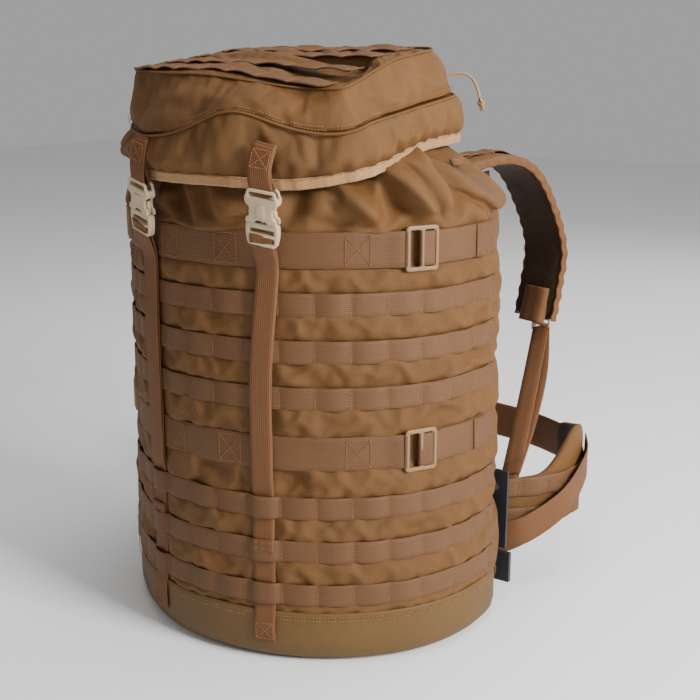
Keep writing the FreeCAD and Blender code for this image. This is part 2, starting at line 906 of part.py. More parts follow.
def box_node(label, length, width, height, corner):
    """A box whose sides are expressions; corner is its lowest point."""
    box = doc.addObject("Part::Box", label)
    box.setExpression("Length", length)
    box.setExpression("Width", width)
    box.setExpression("Height", height)
    box.Placement = Placement(Vector(*corner), Rotation())
    return node(box, label)


def make_frame():
    box_node("frame_sheet", "2 * Sizes.sheet_half_width", "Sizes.sheet_thick", f"{SHEET_HEIGHT}",
             (-size("sheet_half_width"), SHEET_Y, SHEET_BOTTOM))
    for side_name, side in SIDES:
        left = side * size("stay_offset") - size("stay_width") / 2
        box_node(f"frame_stay_{side_name}", "Sizes.stay_width", "Sizes.stay_thick",
                 f"{STAY_HEIGHT}", (left, STAY_Y, size("stay_bottom")))


RIVET_FOOT = 1
RIVET_HEAD = 2


def rivet_spots():
    """Where the lumbar plate is riveted: X and Z of each rivet."""
    spread = size("bag_half_width") - size("rivet_inset")
    low = size("plate_bottom") + size("rivet_rise")
    high = size("plate_bottom") + size("plate_height") - size("rivet_rise")
    return [(side * spread, z) for side in (-1, 1) for z in (low, high)]


def make_lumbar():
    """A stiff plate across the small of the back, with riveted ends, and a bar under it."""
    body = new_body("lumbar_plate")
    outer = rectangle(body, "lumbar_outer", "XZ_Plane", "-Sizes.bag_half_width",
                      "Sizes.plate_bottom", "2 * Sizes.bag_half_width", "Sizes.plate_height")
    pad(body, outer, "Sizes.plate_thick", True)
    for number, (x, z) in enumerate(rivet_spots()):
        hole = disc(body, f"lumbar_hole{number}", "XZ_Plane", f"{x}", f"{z}",
                    "Sizes.rivet_radius + Sizes.rivet_fit")
        pocket(body, hole, "Sizes.plate_thick")
    body.Placement = Placement(Vector(0, PLATE_Y, 0), Rotation())
    doc.recompute()
    node(body, "lumbar_plate")
    rivets = []
    for x, z in rivet_spots():
        shank_length = size("plate_thick") + RIVET_FOOT + PLANE_GAP
        foot = Vector(x, PLATE_Y - RIVET_FOOT, z)
        shank = Part.makeCylinder(size("rivet_radius"), shank_length, foot, Y_AXIS)
        head_foot = Vector(x, PLATE_Y + size("plate_thick") + PLANE_GAP, z)
        head = Part.makeCylinder(size("rivet_radius") + 2, RIVET_HEAD, head_foot, Y_AXIS)
        rivets.append(shank.fuse(head))
    shaped("lumbar_rivets", Part.makeCompound(rivets))
    reach = size("bag_half_width") + size("bar_overhang")
    box_node("lower_bar", "2 * (Sizes.bag_half_width + Sizes.bar_overhang)",
             "Sizes.plate_thick + 2", "Sizes.bar_height", (-reach, PLATE_Y, size("bar_bottom")))


def make_back_pads():
    """The pad against the shoulder blades and the thicker one in the small of the back."""
    box_node("back_pad", "2 * Sizes.back_pad_half_width", "Sizes.back_pad_thick",
             f"{BACK_PAD_HEIGHT}",
             (-size("back_pad_half_width"), PAD_Y, size("back_pad_bottom")))
    low_corner = (-size("lumbar_pad_half_width"), PAD_Y + RIVET_HEAD + 0.5, size("plate_bottom") - 4)
    box_node("lumbar_pad", "2 * Sizes.lumbar_pad_half_width", "Sizes.lumbar_pad_thick",
             "Sizes.plate_height + 6", low_corner)


# ---------------------------------------------------------------- shoulder harness

PAD_ROOT_Y = (
    PAD_Y + size("back_pad_thick") + size("pad_thick") + 1.5
    + size("pad_width") / 2 * math.sin(math.radians(size("pad_splay")))
)
# Side view of a shoulder pad's inner face: how far it stands out from its root, and its height
# above the root.
PAD_ROUTE = ((0, -34), (20, 34), (150, 42), (230, -74), (208, -170))
PAD_BENDS = (48, 62, 90)


def harness_place(side, outward=0.0, up=0.0, across=0.0):
    """The harness frame at one side: local x points away from the back, local y up.

    Local z runs across the strap, towards the pack's outer side on the right and its inner
    side on the left.
    """
    splay = math.radians(size("pad_splay"))
    away = Vector(side * math.sin(splay), math.cos(splay), 0)
    width = away.cross(Z_AXIS)
    turn = Rotation(away, Z_AXIS, width, "XYZ")
    root_height = size("bag_height") - size("pad_root_drop")
    root = Vector(side * size("pad_root_spread"), PAD_ROOT_Y, root_height)
    shift = away * outward + Z_AXIS * up + width * across
    return Placement(root + shift, turn)


def make_harness():
    width = size("pad_width")
    webbing = size("webbing_width")
    thin = size("strap_thick")
    for side_name, side in SIDES:
        pad_shape = ribbon(PAD_ROUTE, PAD_BENDS, -size("pad_thick"), width)
        shaped(f"shoulder_pad_{side_name}", pad_shape, harness_place(side, across=-width / 2))
        above = PAD_ROUTE[2][1] + size("pad_thick") + 1.5
        lifter = ribbon(((-32, above + 1), (20, above + 2), (104, above)), (200,), thin, webbing)
        shaped(f"load_lifter_{side_name}", lifter, harness_place(side, across=-webbing / 2))
        make_strap_buckle(side_name, side)
        make_sternum(side_name, side)
        make_lower_strap(side_name, side)


# Where the strap buckle's top is, out from a shoulder pad's root and above it.
STRAP_BUCKLE_TOP = (244, -142)


def make_strap_buckle(side_name, side):
    """The buckle between a shoulder pad and its lower webbing."""
    label = f"strap_buckle_{side_name}"
    body = new_body(label)
    width = f"({BUCKLE_SLOT} + 7)"
    outer = rectangle(body, f"{label}_outer", "XZ_Plane", f"-{width} / 2",
                      "-Sizes.strap_buckle_length", width, "Sizes.strap_buckle_length")
    pad(body, outer, "Sizes.strap_buckle_thick")
    for number, low in enumerate((
        "-Sizes.strap_buckle_length + Sizes.slot_height - 1",
        "-Sizes.strap_buckle_length + 3 * Sizes.slot_height - 1",
        "-2 * Sizes.slot_height + 1",
    )):
        slot = rectangle(body, f"{label}_slot{number}", "XZ_Plane", f"-{BUCKLE_SLOT} / 2", low,
                         BUCKLE_SLOT, "Sizes.slot_height")
        pocket(body, slot, "Sizes.strap_buckle_thick", True)
    doc.recompute()
    place = harness_place(side, *STRAP_BUCKLE_TOP)
    splay = Rotation(Z_AXIS, -side * size("pad_splay"))
    lean = Rotation(X_AXIS, -size("strap_buckle_lean"))
    body.Placement = Placement(place.Base, splay.multiply(lean))
    node(body, label)


# Where the chest strap is sewn to a shoulder pad, out from the pad's root and above it.
STERNUM_TOP = (104, 34)


def make_sternum(side_name, side):
    """Half of the chest strap, hanging from the inner face of a shoulder pad."""
    strap = doc.addObject("Part::Box", f"sternum_strap_{side_name}")
    strap.setExpression("Length", "Sizes.strap_thick")
    strap.setExpression("Width", "Sizes.sternum_width")
    strap.setExpression("Height", "Sizes.sternum_length")
    clip_width = size("sternum_width") + 4
    inward = -side * (size("pad_width") / 2 - clip_width)
    place = harness_place(side, STERNUM_TOP[0], STERNUM_TOP[1] - size("sternum_length"), inward)
    splay = Rotation(Z_AXIS, -side * size("pad_splay"))
    strap.Placement = Placement(place.Base, splay)
    node(strap, f"sternum_strap_{side_name}")
    clip = doc.addObject("Part::Box", f"sternum_clip_{side_name}")
    clip.setExpression("Length", "Sizes.sternum_clip_thick")
    clip.setExpression("Width", "Sizes.sternum_width + 4")
    clip.setExpression("Height", "Sizes.sternum_clip_length")
    below = place.Base + Vector(0, 0, -size("sternum_clip_length") - 0.5)
    clip.Placement = Placement(below, splay)
    node(clip, f"sternum_clip_{side_name}")


# Where the lower webbing is sewn to the right side: 6 mm inside the bag's widest point.
STRAP_ANCHOR = (size("bag_half_width") - 6, PAD_Y + 15.8, 148)


def make_lower_strap(side_name, side):
    """The webbing from the strap buckle down to the lower corner of the bag."""
    lean = math.radians(size("strap_buckle_lean"))
    drop = size("strap_buckle_length")
    clear = size("strap_buckle_thick")
    outward = STRAP_BUCKLE_TOP[0] - drop * math.sin(lean) - clear
    up = STRAP_BUCKLE_TOP[1] - drop * math.cos(lean) - clear
    top = harness_place(side, outward, up)
    anchor = Vector(side * STRAP_ANCHOR[0], *STRAP_ANCHOR[1:])
    run = anchor - top.Base
    across = run.cross(Z_AXIS).normalize()
    normal = across.cross(run).normalize()
    turn = Rotation(run.normalize(), across, normal, "XYZ")
    strap = doc.addObject("Part::Box", f"lower_webbing_{side_name}")
    strap.Length = (anchor - top.Base).Length
    strap.setExpression("Width", "Sizes.webbing_width")
    strap.setExpression("Height", "Sizes.strap_thick")
    shift = turn.multVec(Vector(0, -size("webbing_width") / 2, 0))
    strap.Placement = Placement(top.Base + shift, turn)
    node(strap, f"lower_webbing_{side_name}")


# ---------------------------------------------------------------- hip belt

WING_FROM = -114
WING_TO = 63
# Side view of a hip wing: distance back and height of its corners.
WING_SIDE = ((150, 26), (285, 84), (400, 106), (400, 160), (285, 190), (212, 142), (150, 132))


def wing_arc(side, radius, thick, first, final, low, high):
    """A curved wall round the wing's centre line."""
    sector = Part.makeCylinder(radius + thick, high - low, Vector(0, 0, low), Z_AXIS, final - first)
    core = Part.makeCylinder(radius, high - low + 2, Vector(0, 0, low - 1))
    wall = sector.cut(core)
    wall.rotate(Vector(0, 0, 0), Z_AXIS, first)
    wall.translate(Vector(size("wing_centre_spread"), size("wing_centre_back"), 0))
    return wall if side > 0 else wall.mirror(Vector(0, 0, 0), X_AXIS)


def wing_point(radius, angle):
    turn = math.radians(angle)
    return (
        size("wing_centre_spread") + radius * math.cos(turn),
        size("wing_centre_back") + radius * math.sin(turn),
    )


# Each webbing row on a wing: its two angles and its lower edge's height.
WING_ROWS = ((-88, 52, 118), (-84, 4, 78))


def make_belt():
    radius = size("wing_radius")
    thick = size("wing_thick")
    polygon = Part.makePolygon([Vector(-400, y, z) for y, z in WING_SIDE + WING_SIDE[:1]])
    side_block = Part.Face(polygon).extrude(Vector(800, 0, 0))
    for side_name, side in SIDES:
        wall = wing_arc(side, radius - thick, thick, WING_FROM, WING_TO, 0, 220)
        shaped(f"hip_wing_{side_name}", wall.common(side_block))
        rows = []
        for first, final, low in WING_ROWS:
            high = low + size("webbing_width")
            start = radius + size("layer_gap")
            rows.append(wing_arc(side, start, size("webbing_thick"), first, final, low, high))
        shaped(f"wing_webbing_{side_name}", Part.makeCompound(rows))
        make_waist_strap(side_name, side)


def make_waist_strap(side_name, side):
    """Waist webbing from a wing's end to the middle, with half of the waist buckle."""
    start = wing_point(size("wing_radius") - size("wing_thick") / 2, WING_TO + 0.6)
    turn = (start[0] - 62, start[1] + 34)
    end = (size("clasp_gap") + size("clasp_length") + 0.5, turn[1] + 14)
    route = (start, turn, end)
    strap = ribbon(route, (60,), size("strap_thick"), size("waist_width"))
    strap.translate(Vector(0, 0, size("waist_low")))
    if side < 0:
        strap = strap.mirror(Vector(0, 0, 0), X_AXIS)
    shaped(f"waist_strap_{side_name}", strap)
    make_clasp(f"waist_clasp_{side_name}", side, end[1] + size("clasp_thick") / 2 + 1)


def make_clasp(label, side, back):
    """Half of the waist buckle: the prongs on the right, the socket on the left."""
    body = new_body(label)
    if side > 0:
        left = "Sizes.clasp_prong_length - 1"
        long = "Sizes.clasp_length - Sizes.clasp_prong_length + 1"
        slot_left = "Sizes.clasp_length - 5 - Sizes.clasp_slot"
    else:
        left = "-Sizes.clasp_length"
        long = "Sizes.clasp_length"
        slot_left = "-Sizes.clasp_length + 5"
    low = "Sizes.waist_low - Sizes.clasp_edge"
    width = "Sizes.waist_width + 2 * Sizes.clasp_edge"
    block = rectangle(body, f"{label}_block", "XZ_Plane", left, low, long, width)
    pad(body, block, "Sizes.clasp_thick")
    slot = rectangle(body, f"{label}_slot", "XZ_Plane", slot_left, "Sizes.waist_low - 1",
                     "Sizes.clasp_slot", "Sizes.waist_width + 2")
    pocket(body, slot, "Sizes.clasp_thick", True)
    if side > 0:
        for number in range(3):
            foot = (f"Sizes.waist_low + Sizes.waist_width / 2 - Sizes.clasp_prong_width / 2"
                    f" + {number - 1} * Sizes.clasp_prong_pitch")
            middle = "-Sizes.clasp_thick / 2 - Sizes.clasp_prong_thick / 2"
            prong = rectangle(body, f"{label}_prong{number}", "YZ_Plane", middle, foot,
                              "Sizes.clasp_prong_thick", "Sizes.clasp_prong_width")
            pad(body, prong, "Sizes.clasp_prong_length")
    else:
        mouth = rectangle(body, f"{label}_mouth", "YZ_Plane", "-Sizes.clasp_thick + Sizes.clasp_wall",
                          "Sizes.waist_low + 1", "Sizes.clasp_thick - 2 * Sizes.clasp_wall",
                          "Sizes.waist_width - 2")
        pocket(body, mouth, "Sizes.clasp_mouth_depth")
    doc.recompute()
    body.Placement = Placement(Vector(side * size("clasp_gap"), back, 0), Rotation())
    node(body, label)


def check_and_write():
    doc.recompute()
    for obj in doc.Objects:
        if "Invalid" in obj.State or "Error" in obj.State:
            raise RuntimeError(f"{obj.Label} did not build: {obj.State}")
    os.makedirs("parts", exist_ok=True)
    for obj in nodes:
        if obj.Shape.isNull() or not obj.Shape.isValid() or not obj.Shape.Solids:
            raise RuntimeError(f"{obj.Label} has no valid shape")
        if obj.Shape.Volume <= 0:
            raise RuntimeError(f"{obj.Label} has no volume")
        obj.Shape.exportStep(f"parts/{obj.Label}.step")
    print(len(nodes), "pieces written")


make_bag()
make_base()
make_rows()
make_bands()
make_locks()
make_front_straps()
make_lid_skirt()
make_hem()
make_lid_pocket()
make_lid_rows()
make_zip()
make_cord()
make_lid_buckles()
make_frame()
make_lumbar()
make_back_pads()
make_harness()
make_belt()
check_and_write()
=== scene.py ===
import json
from math import copysign, cos, exp, hypot, pi, radians, sin

import bpy
from mathutils import Matrix, Vector, noise


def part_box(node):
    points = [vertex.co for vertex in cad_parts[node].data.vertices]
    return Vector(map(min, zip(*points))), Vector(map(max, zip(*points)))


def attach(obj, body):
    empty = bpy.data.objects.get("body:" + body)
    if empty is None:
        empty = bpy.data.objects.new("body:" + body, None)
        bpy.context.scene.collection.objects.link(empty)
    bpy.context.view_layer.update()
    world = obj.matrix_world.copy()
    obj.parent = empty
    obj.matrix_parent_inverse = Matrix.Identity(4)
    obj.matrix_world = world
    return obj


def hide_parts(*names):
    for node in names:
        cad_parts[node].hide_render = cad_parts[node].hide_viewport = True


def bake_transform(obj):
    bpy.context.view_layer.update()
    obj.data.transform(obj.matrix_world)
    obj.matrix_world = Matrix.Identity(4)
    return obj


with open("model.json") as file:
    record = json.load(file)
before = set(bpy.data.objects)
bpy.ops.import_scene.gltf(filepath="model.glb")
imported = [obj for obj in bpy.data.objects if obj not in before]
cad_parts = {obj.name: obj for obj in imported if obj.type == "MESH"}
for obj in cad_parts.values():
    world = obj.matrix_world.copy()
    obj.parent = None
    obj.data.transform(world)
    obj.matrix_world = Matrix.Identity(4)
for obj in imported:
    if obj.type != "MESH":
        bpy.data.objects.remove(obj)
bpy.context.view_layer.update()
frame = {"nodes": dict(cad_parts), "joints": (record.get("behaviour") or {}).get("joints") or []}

bl_info = {
    "name": "Hunting Backpack",
    "version": (1, 0, 0),
    "blender": (4, 5, 0),
    "location": "View3D > Sidebar > Backpack",
    "description": "Cloth, webbing, buckles and padding of a framed hunting backpack",
    "category": "Add Mesh",
}

SIDES = (("right", 1), ("left", -1))
UP = Vector((0, 0, 1))
BACKWARD = Vector((0, 1, 0))
ROW_PITCH = 0.05


# --- sizes and colours

def length(name, text, default):
    return bpy.props.FloatProperty(
        name=name, description=text, default=default, min=0.0, unit="LENGTH", subtype="DISTANCE"
    )


def colour(name, text, default):
    return bpy.props.FloatVectorProperty(
        name=name, description=text, default=default, size=3, min=0.0, max=1.0, subtype="COLOR"
    )


class BackpackSizes(bpy.types.PropertyGroup):
    """Sizes of the sewn parts, in metres."""

    webbing: length("Webbing width", "Width of the attachment webbing", 0.025)
    band: length("Band width", "Width of the compression bands", 0.038)
    ply: length("Webbing thickness", "Thickness of one ply of webbing", 0.0016)
    stitch_pitch: length("Stitch pitch", "Distance between two bar tacks of a row", 0.038)
    strap_spread: length("Strap spread", "Half the distance between the front straps", 0.076)
    row_puff: length("Row puff", "How far a row stands out between two bar tacks", 0.0032)
    thread: length("Thread", "Thickness of the sewing thread", 0.0008)
    cloth_step: length("Cloth step", "Spacing of the cloth's points", 0.0056)


class BackpackColours(bpy.types.PropertyGroup):
    """Colours of the finishes."""

    fabric: colour("Fabric", "Main coyote brown fabric", (0.118, 0.05, 0.0105))
    webbing: colour("Webbing", "Attachment webbing", (0.108, 0.046, 0.015))
    strap: colour("Straps", "Front straps and harness webbing", (0.125, 0.047, 0.0125))
    olive: colour("Base", "Coated fabric of the base panel", (0.105, 0.055, 0.013))
    binding: colour("Binding", "Elastic hem binding", (0.36, 0.185, 0.065))
    buckle: colour("Buckles", "Side-release buckles", (0.47, 0.35, 0.225))
    lock: colour("Ladder locks", "Ladder locks and clips", (0.22, 0.125, 0.052))
    mesh: colour("Mesh", "Dark spacer mesh", (0.03, 0.0125, 0.0045))
    polymer: colour("Frame", "Polymer of the frame", (0.012, 0.014, 0.021))
    thread: colour("Thread", "Sewing thread", (0.3, 0.125, 0.035))


def sizes():
    return bpy.context.scene.backpack_sizes


def colours():
    return bpy.context.scene.backpack_colours


# --- plan of the bag

class Plan:
    """Plan of the bag: front arc, side arc, straight side, back corner, flat back."""

    def __init__(self, half_width, front, back, radius, angle, corner):
        self.values = (half_width, front, back, radius, angle, corner)
        turn = radians(angle)
        seam_x = radius * sin(turn)
        seam_y = front + radius * (1 - cos(turn))
        side_radius = (half_width - seam_x) / (1 - sin(turn))
        side_x = half_width - side_radius
        side_y = seam_y + side_radius * cos(turn)
        self.stretches = (
            ("arc", (0, front + radius), radius, -90, angle - 90),
            ("arc", (side_x, side_y), side_radius, angle - 90, 0),
            ("line", (half_width, side_y), (half_width, back - corner), (1, 0)),
            ("arc", (half_width - corner, back - corner), corner, 0, 90),
            ("line", (half_width - corner, back), (0, back), (0, 1)),
        )
        self.lengths = [self.stretch_length(stretch) for stretch in self.stretches]
        self.reach = sum(self.lengths)

    @staticmethod
    def stretch_length(stretch):
        if stretch[0] == "arc":
            return stretch[2] * radians(stretch[4] - stretch[3])
        (x0, y0), (x1, y1) = stretch[1:3]
        return hypot(x1 - x0, y1 - y0)

    def locate(self, run):
        left = abs(run)
        last = len(self.lengths) - 1
        for index, stretch in enumerate(self.lengths):
            if left <= stretch or index == last:
                return index, min(left / stretch, 1.0)
            left -= stretch

    def place(self, index, share, side):
        """Point and outward normal at a share of a stretch."""
        stretch = self.stretches[index]
        if stretch[0] == "arc":
            (x, y), radius, first, final = stretch[1:]
            angle = radians(first + (final - first) * share)
            normal = Vector((cos(angle), sin(angle)))
            point = Vector((x, y)) + normal * radius
        else:
            (x0, y0), (x1, y1), flat = stretch[1:]
            point = Vector((x0 + (x1 - x0) * share, y0 + (y1 - y0) * share))
            normal = Vector(flat)
        return Vector((side * point.x, point.y)), Vector((side * normal.x, normal.y))


REFERENCE = Plan(0.232, -0.14, 0.14, 0.25, 48, 0.055)
LEVELS = ((0.0, 1.035), (0.062, 1.029), (0.212, 1.005), (0.276, 0.9975), (0.429, 0.989), (0.49, 0.989))
SHOULDER = LEVELS[-1][0]
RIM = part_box("main_bag")[1][2]
COLLAR = (0.15, -0.116, 0.116, 0.165, 48, 0.045)
plans = {}


def smooth(share):
    share = min(max(share, 0.0), 1.0)
    return share * share * (3 - 2 * share)


def mix(one, two, share):
    return one + (two - one) * share


def noise_at(*place):
    """Smooth noise from -1 to 1."""
    return noise.noise(Vector(place))


def scaled_plan(share):
    half_width, front, back, radius, angle, corner = REFERENCE.values
    return Plan(half_width * share, front * share, back, radius * share, angle, corner * share)


def plan_at(z):
    key = round(z, 5)
    if key not in plans:
        if z >= SHOULDER:
            share = min((z - SHOULDER) / (RIM - SHOULDER), 1.0)
            bulge = share ** 1.25
            low = scaled_plan(LEVELS[-1][1]).values
            plans[key] = Plan(*(mix(a, b, bulge) for a, b in zip(low, COLLAR)))
        else:
            for (low, low_share), (high, high_share) in zip(LEVELS, LEVELS[1:]):
                if z <= high:
                    plans[key] = scaled_plan(mix(low_share, high_share, (z - low) / (high - low)))
                    break
    return plans[key]


LID_SLUMP = 0.036
BAG_SLUMP = 0.014


def slump(point, share=1.0):
    """The empty pack sags inwards on its left: the bag a little, the lid and the shoulder more."""
    shift = mix(BAG_SLUMP, LID_SLUMP, share) * smooth((-point.x - 0.01) / 0.17)
    return Vector((point.x + shift, point.y, point.z))


def crease(one, two, seed):
    """Sharp folds with soft valleys between them, from about -1 to 1."""
    large = abs(noise_at(one, two, seed))
    small = abs(noise_at(one * 2.3 - two * 0.7, two * 1.9 + one * 0.4, seed + 5))
    return 0.75 - 2.6 * large + 0.35 - 1.1 * small


def normal_at(run, z):
    index, share = REFERENCE.locate(run)
    normal = plan_at(max(z, 0.0)).place(index, share, 1 if run >= 0 else -1)[1]
    return Vector((normal.x, normal.y, 0))


def skin(run, z, out=0.0):
    """A point on the bag: run along the plan from the middle of the front, height, stand-off."""
    index, share = REFERENCE.locate(run)
    point, normal = plan_at(max(z, 0.0)).place(index, share, 1 if run >= 0 else -1)
    place = Vector((point.x + normal.x * out, point.y + normal.y * out, z))
    held = smooth((0.165 - place.y) / 0.06)
    return place.lerp(slump(place, smooth((z - SHOULDER) / 0.05)), held)


# The rows of attachment webbing, lowest first, and the two wide bands: their lower edges.
LOWER_ROWS = [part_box("webbing_rows_lower")[0][2] + ROW_PITCH * number for number in range(3)]
UPPER_ROWS = [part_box("webbing_rows_upper")[0][2] + ROW_PITCH * number for number in range(3)]
BANDS = {name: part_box(f"{name}_band")[0][2] for name in ("lower", "upper")}
ROW_REACH = 0.372
LOCK_RUN = 0.245
HEM_WAVE = 190


def corners_of(name):
    """The lowest and highest corner of a CAD piece's box."""
    return [Vector(corner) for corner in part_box(name)]


# --- materials

def nodes_of(name):
    """A new material with its node tree and its shader."""
    material = bpy.data.materials.new(name)
    material.use_nodes = True
    tree = material.node_tree
    return material, tree, tree.nodes["Principled BSDF"]


def node(tree, kind, **values):
    made = tree.nodes.new(kind)
    for key, value in values.items():
        if key in made.inputs:
            made.inputs[key].default_value = value
        else:
            setattr(made, key, value)
    return made


def link(tree, one, two):
    tree.links.new(one, two)


def maths(tree, operation, one, two=None):
    made = node(tree, "ShaderNodeMath", operation=operation)
    for index, value in enumerate((one, two)):
        if value is None:
            continue
        if isinstance(value, (int, float)):
            made.inputs[index].default_value = value
        else:
            link(tree, value, made.inputs[index])
    return made.outputs[0]


def blend_of(tree, *terms):
    """The sum of node values, each with its weight."""
    total = None
    for value, weight in terms:
        scaled = maths(tree, "MULTIPLY", value, weight) if weight != 1 else value
        total = scaled if total is None else maths(tree, "ADD", total, scaled)
    return total


def set_all(shader, **values):
    """Sets a shader's own numbers and colours: underscores stand for spaces."""
    for name, value in values.items():
        shader.inputs[name.replace("_", " ")].default_value = value


def paler(base, gain, lift=0.0):
    return (*(min(channel * gain + lift, 1) for channel in base), 1)


def object_place(tree):
    """The piece's own coordinates, in metres."""
    return node(tree, "ShaderNodeTexCoord").outputs["Object"]


def axes_of(tree, place):
    """The single coordinates of a place."""
    split = node(tree, "ShaderNodeSeparateXYZ")
    link(tree, place, split.inputs[0])
    return split.outputs


def tint(tree, base, factor, dark, light):
    """base made darker and lighter by a factor from 0 to 1."""
    ramp = node(tree, "ShaderNodeValToRGB")
    ramp.color_ramp.elements[0].color = paler(base, dark)
    ramp.color_ramp.elements[1].color = paler(base, light)
    link(tree, factor, ramp.inputs[0])
    return ramp.outputs[0]


def bump(tree, shader, heights):
    """Chains bumps: each height comes with its strength and its distance in metres."""
    normal = None
    for height, strength, distance in heights:
        made = node(tree, "ShaderNodeBump", Strength=strength, Distance=distance)
        link(tree, height, made.inputs["Height"])
        if normal is not None:
            link(tree, normal, made.inputs["Normal"])
        normal = made.outputs[0]
    link(tree, normal, shader.inputs["Normal"])


def sines(tree, one, two, pitch):
    """A plain weave: crossed sines of two coordinates."""
    turn = 2 * pi / pitch
    first = maths(tree, "SINE", maths(tree, "MULTIPLY", one, turn))
    second = maths(tree, "SINE", maths(tree, "MULTIPLY", two, turn))
    return maths(tree, "ADD", maths(tree, "MULTIPLY", maths(tree, "MULTIPLY", first, second), 0.5), 0.5)


def cloud(tree, vector, scale, detail=4.0, roughness=0.6):
    made = node(tree, "ShaderNodeTexNoise", Scale=scale, Detail=detail, Roughness=roughness)
    link(tree, vector, made.inputs["Vector"])
    return made.outputs["Fac"]


def fabric_finish(name, base):
    """Textured nylon: a fine basket weave, uneven dye and a painted highlight on the high spots."""
    material, tree, shader = nodes_of(name)
    place = object_place(tree)
    axes = axes_of(tree, place)
    across = blend_of(tree, (axes[0], 1), (axes[1], 0.8))
    along = blend_of(tree, (axes[2], 1), (axes[1], 0.55))
    weave = sines(tree, across, along, 0.0011)
    dye = cloud(tree, place, 14.0, 5.0)
    slub = cloud(tree, place, 900.0, 2.0)
    shade = blend_of(tree, (dye, 0.55), (slub, 0.25), (weave, 0.2))
    colour_out = tint(tree, base, shade, 0.5, 1.5)
    # Painted highlight: the convex high spots of the cloth are mixed up to 22 per cent towards a paler
    # colour.
    geometry = node(tree, "ShaderNodeNewGeometry")
    edge = node(tree, "ShaderNodeMapRange")
    set_all(edge, From_Min=0.52, From_Max=0.62, To_Max=0.22)
    link(tree, geometry.outputs["Pointiness"], edge.inputs["Value"])
    painted_ridge_highlight = node(tree, "ShaderNodeMix", data_type="RGBA")
    link(tree, edge.outputs[0], painted_ridge_highlight.inputs[0])
    link(tree, colour_out, painted_ridge_highlight.inputs[6])
    painted_ridge_highlight.inputs[7].default_value = paler(base, 1.7, 0.03)
    link(tree, painted_ridge_highlight.outputs[2], shader.inputs["Base Color"])
    set_all(shader, Roughness=0.66, Sheen_Weight=0.1, Sheen_Roughness=0.45,
            Sheen_Tint=paler(base, 2.2), Specular_IOR_Level=0.32)
    ruck = node(tree, "ShaderNodeTexNoise", Scale=42.0, Detail=5.0, Roughness=0.55, Distortion=0.9)
    link(tree, place, ruck.inputs["Vector"])
    bump(tree, shader, ((ruck.outputs["Fac"], 0.5, 0.002), (weave, 0.7, 0.0003)))
    return material


def webbing_finish(name, base):
    """Woven tape: ribs along its length and a herringbone of picks across them."""
    material, tree, shader = nodes_of(name)
    axes = axes_of(tree, node(tree, "ShaderNodeUVMap").outputs[0])
    rib = maths(tree, "ABSOLUTE", maths(tree, "SINE", maths(tree, "MULTIPLY", axes[1], pi / 0.0021)))
    slant = maths(tree, "ADD", axes[0], maths(tree, "MULTIPLY", rib, 0.0007))
    pick = maths(tree, "SINE", maths(tree, "MULTIPLY", slant, 2 * pi / 0.0013))
    pick = maths(tree, "ADD", maths(tree, "MULTIPLY", pick, 0.5), 0.5)
    dye = cloud(tree, object_place(tree), 30.0, 4.0)
    shade = blend_of(tree, (dye, 0.5), (rib, 0.3), (pick, 0.2))
    link(tree, tint(tree, base, shade, 0.6, 1.38), shader.inputs["Base Color"])
    set_all(shader, Roughness=0.62, Sheen_Weight=0.14, Sheen_Roughness=0.35,
            Sheen_Tint=paler(base, 2.4), Specular_IOR_Level=0.35)
    bump(tree, shader, ((rib, 0.7, 0.00035), (pick, 0.5, 0.00018)))
    return material


def coated_finish(name, base):
    """Coated base fabric: nearly smooth, with a fine grain, scuffs and dust."""
    material, tree, shader = nodes_of(name)
    place = object_place(tree)
    grain = cloud(tree, place, 1400.0, 2.0)
    dust = cloud(tree, place, 9.0, 6.0, 0.7)
    scuff = node(tree, "ShaderNodeTexVoronoi", Scale=160.0)
    link(tree, place, scuff.inputs["Vector"])
    shade = blend_of(tree, (dust, 0.75), (grain, 0.2))
    link(tree, tint(tree, base, shade, 0.68, 1.36), shader.inputs["Base Color"])
    set_all(shader, Roughness=0.6, Specular_IOR_Level=0.35)
    bump(tree, shader, ((cloud(tree, place, 45.0, 3.0), 0.3, 0.0018),
                        (scuff.outputs["Distance"], 0.12, 0.0004), (grain, 0.4, 0.00015)))
    return material


def elastic_finish(name, base):
    """Knitted elastic: narrow ribs along the tape with a tight cross knit."""
    material, tree, shader = nodes_of(name)
    axes = axes_of(tree, node(tree, "ShaderNodeUVMap").outputs[0])
    rib = maths(tree, "ABSOLUTE", maths(tree, "SINE", maths(tree, "MULTIPLY", axes[1], pi / 0.0016)))
    knit = sines(tree, axes[0], axes[1], 0.0012)
    dye = cloud(tree, object_place(tree), 40.0)
    shade = blend_of(tree, (dye, 0.5), (rib, 0.45))
    link(tree, tint(tree, base, shade, 0.6, 1.3), shader.inputs["Base Color"])
    set_all(shader, Roughness=0.75, Sheen_Weight=0.25)
    bump(tree, shader, ((rib, 0.8, 0.0005), (knit, 0.5, 0.0002)))
    return material


def mesh_finish(name, base):
    """Spacer mesh: rows of small holes in a dark knit."""
    material, tree, shader = nodes_of(name)
    place = object_place(tree)
    holes = node(tree, "ShaderNodeTexVoronoi", Scale=330.0, Randomness=0.25)
    link(tree, place, holes.inputs["Vector"])
    link(tree, tint(tree, base, holes.outputs["Distance"], 0.35, 2.0), shader.inputs["Base Color"])
    set_all(shader, Roughness=0.9, Sheen_Weight=0.06, Specular_IOR_Level=0.25)
    bump(tree, shader, ((holes.outputs["Distance"], 0.9, 0.0009),))
    return material


